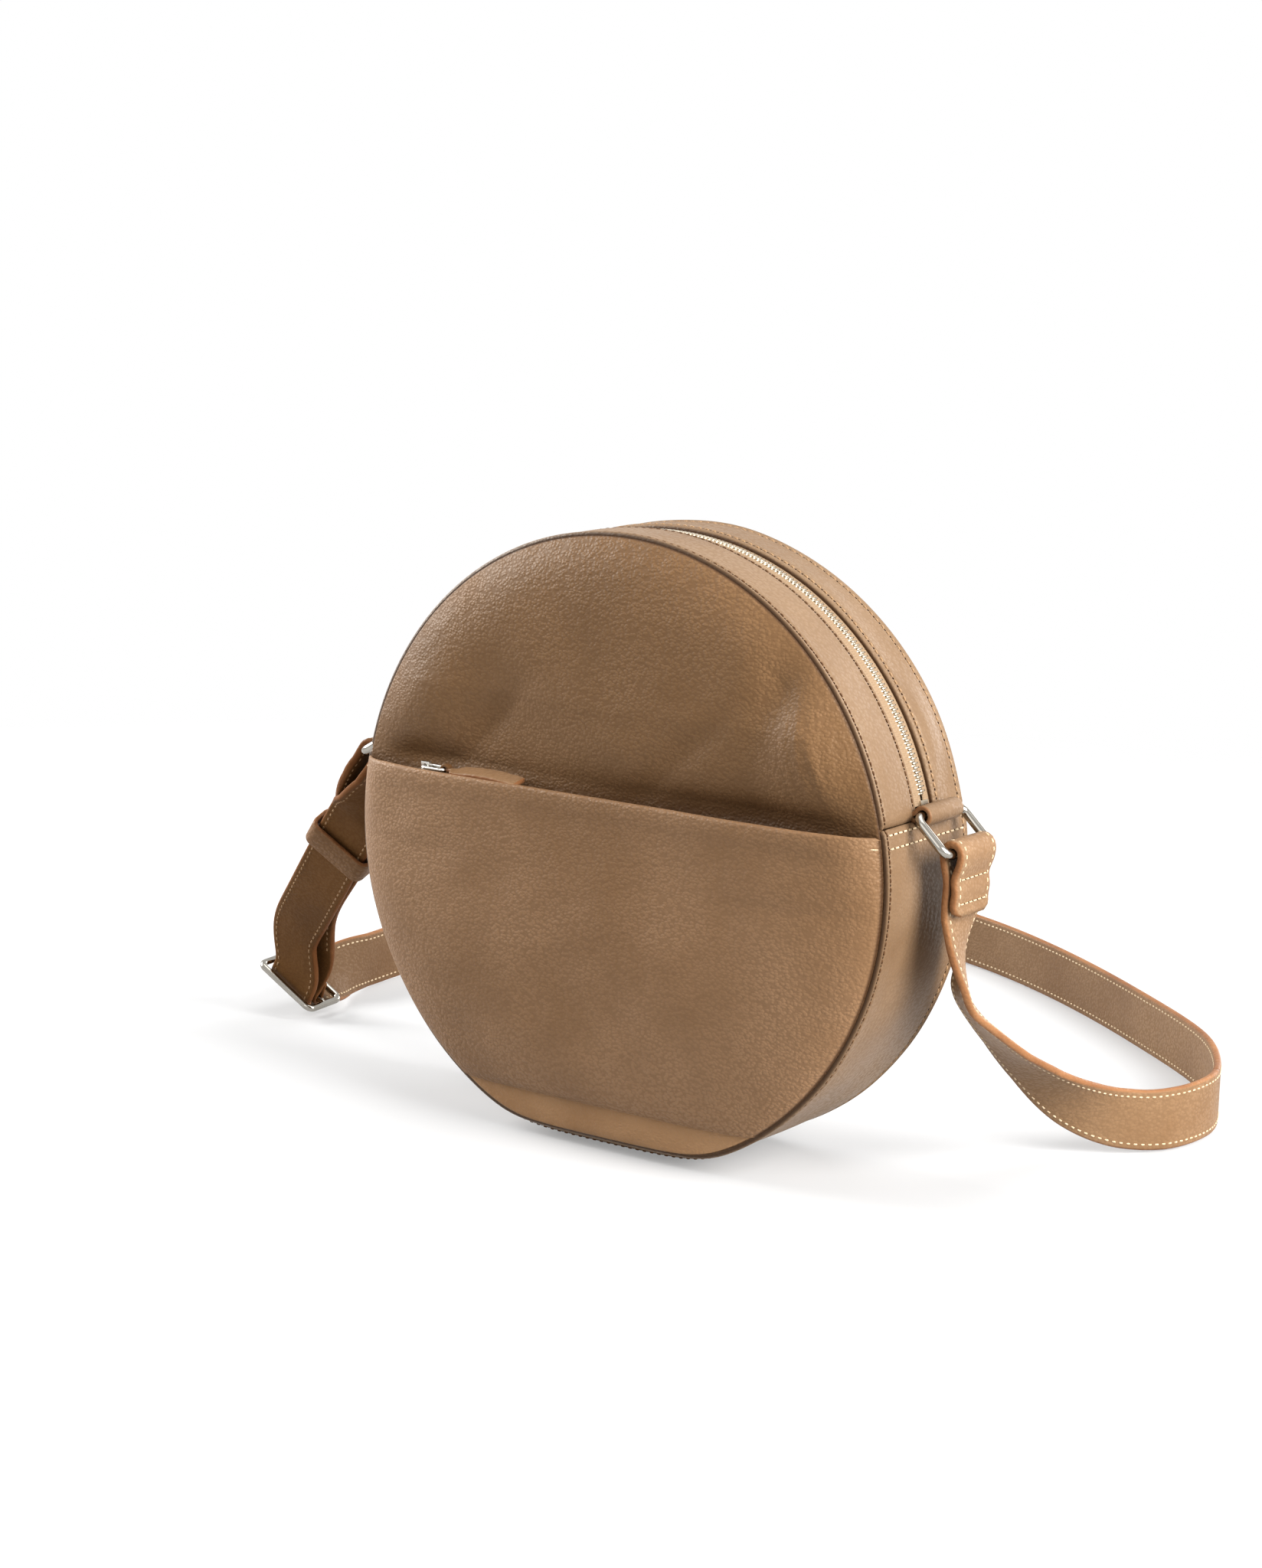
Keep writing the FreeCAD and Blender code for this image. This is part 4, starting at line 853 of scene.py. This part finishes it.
def strapPiece(name, first, last, nodes, body=None, blendTo=None, thinFrom=None, tipAtStart=False,
               leather=litStrap, thread=creamThread, shadeAlong=((0, 0.0),)):
    # outline carried along the strap's line; the long edges are painted, a row of threads lies by each;
    # the last argument gives the painted shade, how far the leather is darkened, at distances along the piece
    times = evenly(strapAt, strapTimes[first], strapTimes[last], 1.5)
    middle, wide, through = strapFrame(times)
    run = runOf(chords(middle))
    half = thick = np.ones(len(run))
    if tipAtStart:
        half = 1 - strap["tip"] / (strap["wide"] / 2) * roundFall(1 - run / strap["tip"])
    if thinFrom is not None:
        thick = np.where(times > strapTimes[thinFrom], strap["thin"], 1.0)
        thick = np.convolve(np.pad(thick, 6, mode="edge"), np.ones(13) / 13, "valid")
    u, v = strapOutline()
    soft = 0.12 * waves(middle, 41, 30)[:, None] * (1 - np.abs(u) / 13)
    rows = (middle[:, None] + wide[:, None] * (u[None, :, None] * half[:, None, None])
            + through[:, None] * ((v[None] * thick[:, None] + soft)[..., None]))
    points, faces = tubeOf(rows)
    painted = climb(np.abs(u), strap["wide"] / 2 - 0.95, 0.5)
    painted = np.concatenate([np.tile(painted, len(run)), [1, 1]])
    # painted shade along the piece
    dark = np.interp(run, *zip(*shadeAlong))
    dark = np.concatenate([np.repeat(dark, len(u)), [dark[0], dark[-1]]])
    made = makePiece(name, points, faces, leather, (painted, dark))
    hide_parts(*nodes)
    if blendTo:
        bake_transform(made)
    else:
        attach(made, body)
    keep = thick > 0.95
    if tipAtStart:
        keep &= run > 3.0
    for edge, edgeName in ((1, "Near"), (-1, "Far")):
        for face, faceName in ((1, "Top"), (-1, "Under")):
            line = middle + wide * (edge * (strap["wide"] / 2 - strap["stitch"]))
            line = line + through * (face * (strap["thick"] / 2 - strap["groove"]))
            normals = through[keep] * face
            stitchRow(name + edgeName + faceName, line[keep], normals, thread, "strap", body, blendTo)


swingRight = ("bag", "ring_right", (0.1475, 0.082, 0.020), (0.1342, 0.004, 0.110))
swingLeft = ("bag", "ring_left", (-0.168, 0.0145, 0.097), (-0.145, 0.005, 0.127))
strapPiece("strapRight", 0, runStart, ("strap_end_right", "strap_right_fall"), blendTo=swingRight,
           tipAtStart=True)
# the run darkens towards the buckle: painted shade
strapPiece("strapRun", runStart, runEnd, ("strap_long_run", "strap_threaded"), body="bag",
           shadeAlong=((0, 0.0), (170, 0.35), (560, 0.38), (740, 0.62)))
# the left strap is the darker copy of the strap leather, with darker thread: painted shade
strapPiece("strapLeft", runEnd, strapEnd,
           ("strap_inner_layer", "strap_fold_left", "strap_outer_layer", "strap_end_left"),
           blendTo=swingLeft, thinFrom=strapEnd - 9, leather=shadedStrap, thread=tanThread)
for row, z in enumerate((-9.6, -18.8)):   # two rows across the folded right end
    line = ringRight + np.array([2.95, 0, z]) + deepWay * np.linspace(-9.5, 9.5, 24)[:, None]
    stitchRow("endRow" + str(row), line, np.tile([1.0, 0, 0], (24, 1)), creamThread, "end", "ring_right")
print("strap made")

# Keeper
keeper = {"long": 12.0, "wall": 1.8, "room": 1.2, "corner": 3.4, "bow": 0.35}


def outOf(way):
    # to the right of a flat way
    return np.stack([way[:, 1], -way[:, 0]], -1)


def carried(shape, path, out, origin, xWay, yWay, sideWay):
    # outline carried along a flat path: its second value stands out of the path, its first lies to the side
    flat = path[:, None] + out[:, None] * shape[:, 1:]
    return origin + flat[..., :1] * xWay + flat[..., 1:] * yWay + shape[:, :1] * sideWay


def keeperLoop():
    # thin band closed round both layers; its own outline is carried once round a rounded rectangle
    middle = keeperSpot + keeperThrough * (layerStep / 2)
    wall = 2 * keeper["room"] + keeper["wall"]
    corners = roundedBox(strap["wide"] + wall, layerStep + strap["thick"] + wall, keeper["corner"], 8)
    parts = []
    for here, there in zip(corners, np.roll(corners, -1, 0)):
        straight = np.linalg.norm(there - here) > 2   # a long side gets points between
        parts.append(np.linspace(here, there, 6)[:-1] if straight else here[None])
    path = np.concatenate(parts)
    out = outOf(unit(np.roll(path, -1, 0) - np.roll(path, 1, 0)))
    shape = roundedBox(keeper["long"], keeper["wall"], 0.7, 3)
    shape[:, 1] += keeper["bow"] * (1 - (shape[:, 0] / (keeper["long"] / 2)) ** 2)
    rows = carried(shape, path, out, middle, keeperAcross, keeperThrough, keeperAlong)
    faces = gridFaces(*rows.shape[:2], wrapRows=True, wrapCols=True)
    painted = np.tile(climb(np.abs(shape[:, 0]), keeper["long"] / 2 - 0.7, 0.5), len(path))
    made = makePiece("keeperLoop", rows.reshape(-1, 3), faces, strapLeather, (painted, 0 * painted))
    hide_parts("strap_keeper")
    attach(made, "keeper")


keeperLoop()

# Ring tabs
tab = {"wide": 24.0, "wall": 1.8, "axis": 126.3, "reach": 3.05, "height": 1.8, "opening": 146}


def ringTab(name, side, node):
    # strip folded round the ring: two legs in the seam joined by most of a circle
    turn = np.radians(np.linspace(-tab["opening"], tab["opening"], 25))
    circle = np.stack([np.cos(turn), np.sin(turn)], -1)
    loop = np.array([tab["axis"], tab["height"]]) + tab["reach"] * circle
    path = np.concatenate([[(114.5, 0.85), (119, 0.85), (121.6, 0.8)], loop,
                           [(121.6, 2.8), (119, 2.75), (114.5, 2.75)]])
    at, times = splineThrough(np.pad(path, ((0, 0), (0, 1))), (1, 0, 0), (-1, 0, 0))
    line = at(evenly(at, 0, times[-1], 0.5))[:, :2]
    shape = roundedBox(tab["wide"], tab["wall"], 0.7, 3)
    a = math.radians(bag["seamAngle"])
    radial = np.array([side * math.cos(a), 0, math.sin(a)])
    up = np.array([-side * math.sin(a), 0, math.cos(a)])
    origin = bagMiddle + deepWay * bag["zipShift"]
    points, faces = tubeOf(carried(shape, line, outOf(alongPath(line)), origin, radial, up, deepWay))
    painted = np.tile(climb(np.abs(shape[:, 0]), tab["wide"] / 2 - 0.7, 0.4), len(line))
    painted = np.concatenate([painted, [1, 1]])
    turned = faces if side < 0 else flipped(faces)
    made = makePiece(name, points, turned, gussetLeather, (painted, 0 * painted))
    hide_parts(node)
    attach(made, "bag")


ringTab("tabRight", 1, "ring_tab_right")
ringTab("tabLeft", -1, "ring_tab_left")
print("keeper and tabs made")

# Zips
mainZip = {"radius": 119.75, "half": 2.6, "first": 16.3, "last": 161.6, "pitch": 1.75, "tall": 2.2,
           "long": 0.8, "cross": 0.9, "tapeFrom": 14.3, "tapeTo": 165.7}
pocketZip = {"y": -36.7, "z": 138.85, "half": 2.0, "end": 87.0, "pitch": 1.75, "count": 96, "tall": 1.9,
             "long": 0.8, "cross": 0.8, "tape": 92.5, "tapeHalf": 0.3}


def toothShape(look):
    # rounded block from the tape edge to just past the middle, narrower at its tip; x along, y across, z up
    y = np.array([-look["half"] + 0.1, -look["half"] * 0.5, look["cross"] * 0.55, look["cross"]])[:, None]
    size = np.array([0.78, 1.0, 1.0, 0.62])[:, None]
    along, up = roundedBox(look["long"], look["tall"], 0.25, 2).T
    return np.stack(np.broadcast_arrays(along * size, y, up * size), -1)


def toothRow(name, look, middles, ways, ups, side, node):
    # one tooth at each place, turned by the local ways
    points, faces = tubeOf(toothShape(look))
    points = points * np.array([1, -side, 1])
    turned = faces if side < 0 else flipped(faces)
    deep = np.broadcast_to(deepWay, ups.shape)
    made = makePiece(name, *copiesOf(points, turned, middles, ways, deep, ups), toothMetal)
    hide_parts(node)
    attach(made, "bag")


def zipTape(name, rows, node, flip):
    points, faces = tubeOf(rows)
    made = makePiece(name, points, flipped(faces) if flip else faces, tapeCloth)
    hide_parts(node)
    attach(made, "bag")


def mainZipSide(side, name):
    # teeth round the bag axis, the two sides half a pitch apart; the tape's thick edge lies under the teeth
    turn = mainZip["pitch"] / mainZip["radius"] * 180 / math.pi
    a = np.radians(np.arange(mainZip["first"] + (0.5 * turn if side > 0 else 0), mainZip["last"], turn))
    ups = np.stack([np.cos(a), 0 * a, np.sin(a)], -1)
    ways = np.stack([np.sin(a), 0 * a, -np.cos(a)], -1)
    middles = bagMiddle + ups * mainZip["radius"] + deepWay * bag["zipShift"]
    toothRow("mainTeeth" + name.title(), mainZip, middles, ways, ups, side, "main_teeth_" + name)
    angle = np.linspace(mainZip["tapeFrom"], mainZip["tapeTo"], 160)[:, None]
    out = np.array([-1.9, -1.6, -0.7, 0.0, 0.6, 1.2, 4.0, 8.0, 11.4])
    lift = np.array([0.0, 0.5, 0.7, 0.75, 0.6, 0.32, 0.3, 0.3, 0.3])
    out = np.concatenate([out, out[:0:-1]])
    lift = np.concatenate([lift, -lift[:0:-1]])
    deep = bag["zipShift"] + side * (mainZip["half"] + 0.1 + out)
    rows = polar(mainZip["radius"] + lift, angle, deep)
    zipTape("mainTape" + name.title(), rows, "main_tape_" + name, side > 0)


def pocketZipSide(side, name):
    # teeth in a straight line; the tape reaches from them to the front panel or to the pocket
    x = pocketZip["end"] - (np.arange(pocketZip["count"]) + (0.5 if side > 0 else 0)) * pocketZip["pitch"]
    middles = np.stack(np.broadcast_arrays(x, pocketZip["y"], pocketZip["z"]), -1)
    ways, ups = (np.tile(way, (len(x), 1)) for way in ([1.0, 0, 0], [0, 0, 1.0]))
    toothRow("pocketTeeth" + name.title(), pocketZip, middles, ways, ups, side, "pocket_teeth_" + name)
    x = np.linspace(-pocketZip["tape"], pocketZip["tape"], 90)
    if side > 0:
        wall = faceDepth(np.hypot(x, pocketZip["z"] - bagMiddle[2]))
    else:
        wall = pocketFace(x, pocketZip["z"] + 0 * x) - 3.1
    near = pocketZip["y"] + side * pocketZip["half"]
    deep = near + (-wall[:, None] + 0.3 * side - near) * np.array([0.0, 0.5, 1.0])
    top = np.stack(np.broadcast_arrays(x[:, None], deep, pocketZip["z"] + pocketZip["tapeHalf"]), -1)
    rows = np.concatenate([top, top[:, ::-1] - np.array([0, 0, 2 * pocketZip["tapeHalf"]])], 1)
    zipTape("pocketTape" + name.title(), rows, "pocket_tape_" + name, side < 0)


mainZipSide(-1, "front")
pocketZipSide(-1, "front")
mainZipSide(1, "back")
pocketZipSide(1, "rear")
print("zips made")

# Zip pulls
pull = {"long": 38.0, "wide": 7.6, "thick": 1.7, "neck": 3.3, "hole": 1.15, "crease": 0.22, "tip": 3.0,
        "tipNarrow": 1.6, "loopThick": 1.1}


def zipPull(name, origin, way, up, shift, bend, roll, node, body):
    # leather tongue: a narrow neck at the link that widens, bows along its length and is creased across
    length = pull["long"]
    parts = ((1.2, 6, 10), (6.6, length - 3, 40), (length - 2.6, length, 8))
    s = np.concatenate([np.linspace(*part) for part in parts])[:, None]
    wide = pull["neck"] + (pull["wide"] - pull["neck"]) * climb(s, 4.2, 2.2) ** 0.7
    wide = wide - pull["tipNarrow"] * roundFall((s - (length - pull["tip"])) / pull["tip"])
    x, y = roundedBox(2.0, 2.0, 0.45, 4).T
    u = x * wide / 2
    crease = pull["crease"] * waves(np.stack(np.broadcast_arrays(s * 1.8, u, 0 * u), -1), 61, 5) * (y > 0)
    lean = roll * climb(s, 5, 4)
    v = bend * np.sin(climb(s, 4, length - 4) * np.pi) + y * pull["thick"] / 2 + crease + u * np.sin(lean)
    sideways = shift * climb(s, 3, 3) + u * np.cos(lean)
    rows = origin + way * s[..., None] + deepWay * sideways[..., None] + up * v[..., None]
    points, faces = tubeOf(rows)
    painted = np.maximum(climb(np.abs(x), 0.97, 0.02) * (y < 0.7), s > length - 0.6)
    painted = np.concatenate([painted.ravel(), [1, 1]])
    made = makePiece(name, points, faces, litStrap, (painted, 0 * painted))
    # loop round the link
    a = np.radians(np.linspace(20, 340, 20))
    circle = np.stack([np.cos(a), np.sin(a)], -1)
    reach = pull["hole"] + pull["loopThick"] / 2
    band = roundedBox(pull["neck"], pull["loopThick"], 0.4, 2)
    points, faces = tubeOf(carried(band, reach * circle, circle, origin, way, up, deepWay))
    plain = np.zeros(len(points))
    loop = makePiece(name + "Loop", points, faces, strapLeather, (plain, plain))
    for piece in (made, loop):
        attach(piece, body)
    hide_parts(node)


pocketLink = np.array([-75.02, -36.7, 142.55])
mainLink = np.array([-113.6466, 4.0, 168.9852])
dip = math.radians(90 - 160.8786 + 7.0)   # the slider's place on the zip, and 7 degrees more
dipWay = np.array([math.cos(dip), 0, -math.sin(dip)])
dipUp = np.array([math.sin(dip), 0, math.cos(dip)])
flatWay, flatUp = np.array([1.0, 0, 0]), np.array([0, 0, 1.0])
zipPull("pocketPull", pocketLink, flatWay, flatUp, shift=-2.4, bend=1.2, roll=0.24,
        node="pocket_pull", body="pocket_pull")
zipPull("mainPull", mainLink, dipWay, dipUp, shift=0.0, bend=0.4, roll=0.0,
        node="main_pull", body="main_pull")

# Metal pieces keep their solid
plating = {nickel: ("ring_left", "ring_right", "buckle_frame"),
           toothMetal: ("main_zip_stops", "pocket_zip_stops"),
           sliderMetal: ("main_slider", "main_link", "pocket_slider", "pocket_link")}
for metal, names in plating.items():
    for name in names:
        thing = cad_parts[name]
        thing.data.materials.clear()
        thing.data.materials.append(metal)
print("pulls and metal done")

# Camera
view = {"azimuth": 34.8, "elevation": 12.1, "roll": 1.5, "distance": 1.3, "focal": 4372.0, "across": 856.5,
        "down": 1098.0, "photoWide": 1648, "photoTall": 2048, "sensor": 36.0}


def setCamera():
    # looks at the bag's middle; focal, across and down are in pixels of the photograph
    a, e, r = (math.radians(view[k]) for k in ("azimuth", "elevation", "roll"))
    back = Vector((math.sin(a) * math.cos(e), -math.cos(a) * math.cos(e), math.sin(e)))
    right = (-back).cross(Vector((0, 0, 1))).normalized()
    up = right.cross(-back)
    right, up = right * math.cos(r) + up * math.sin(r), up * math.cos(r) - right * math.sin(r)
    camera = bpy.data.objects.new("camera", bpy.data.cameras.new("camera"))
    turn = Matrix((right, up, back)).transposed().to_4x4()
    camera.matrix_world = Matrix.Translation(Vector(bagMiddle * mm) + back * view["distance"]) @ turn
    camera.data.sensor_width = view["sensor"]
    camera.data.lens = view["focal"] / view["photoTall"] * view["sensor"]
    camera.data.shift_x = -(view["across"] - view["photoWide"] / 2) / view["photoTall"]
    camera.data.shift_y = (view["down"] - view["photoTall"] / 2) / view["photoTall"]
    bpy.context.scene.collection.objects.link(camera)
    bpy.context.scene.camera = camera


setCamera()

# Lamps
# each has its place, the height of the spot it looks at, the side of its square and its power
lamps = {"rightKey": ((1.5, -0.1, 0.85), 0.12, 1.1, 68.0), "leftKey": ((-1.4, -0.28, 0.8), 0.12, 0.9, 41.0),
         "front": ((0.2, -1.7, 1.1), 0.12, 1.0, 5.0), "above": ((0.2, 0.3, 1.9), 0.1, 1.4, 16.0),
         "backFill": ((0.3, 1.7, 0.45), 0.12, 0.9, 10.0)}
for name, (place, height, size, power) in lamps.items():
    lamp = bpy.data.lights.new(name, "AREA")
    lamp.shape = "RECTANGLE"
    lamp.size = lamp.size_y = size
    lamp.energy = power
    thing = bpy.data.objects.new(name, lamp)
    thing.location = place
    thing.rotation_euler = (Vector((0, 0, height)) - Vector(place)).to_track_quat("-Z", "Y").to_euler()
    bpy.context.scene.collection.objects.link(thing)

# Floor and sky
ground = {"half": 1500, "height": -0.3, "tone": 0.44, "lift": 0.28, "solidTo": 0.42, "goneAt": 0.95}
sky = {"light": 0.13, "seen": 0.87}


def paleFloor():
    # pale ground that keeps the shadows near the bag, is lifted towards white where it is seen and fades out
    material, tree, shader = newMaterial("paleFloor")
    far = mathOf(tree, "LENGTH", objectPlace(tree), kind="VectorMath").node.outputs["Value"]
    fill(tree, shader, Base_Color=(ground["tone"],) * 3, Roughness=0.9, Specular_IOR_Level=0.0,
         Emission_Color=(1.0, 1.0, 1.0), Emission_Strength=scaled(tree, seenRays(tree), ground["lift"]),
         Alpha=rampOf(tree, far, ground["goneAt"], ground["solidTo"]))
    return material


half, height = ground["half"], ground["height"]
corners = [(x, y, height) for x, y in ((-half, -half), (half, -half), (half, half), (-half, half))]
floor = makePiece("floor", corners, [[0, 1, 2, 3]], paleFloor())
world = bpy.data.worlds.new("studio")
world.use_nodes = True
tree = world.node_tree
fill(tree, tree.nodes["Background"], Color=(1.0, 1.0, 1.0),
     Strength=scaled(tree, seenRays(tree), sky["seen"], sky["light"]))
bpy.context.scene.world = world
bpy.context.scene.view_settings.view_transform = "Standard"
print("camera, light and floor set")
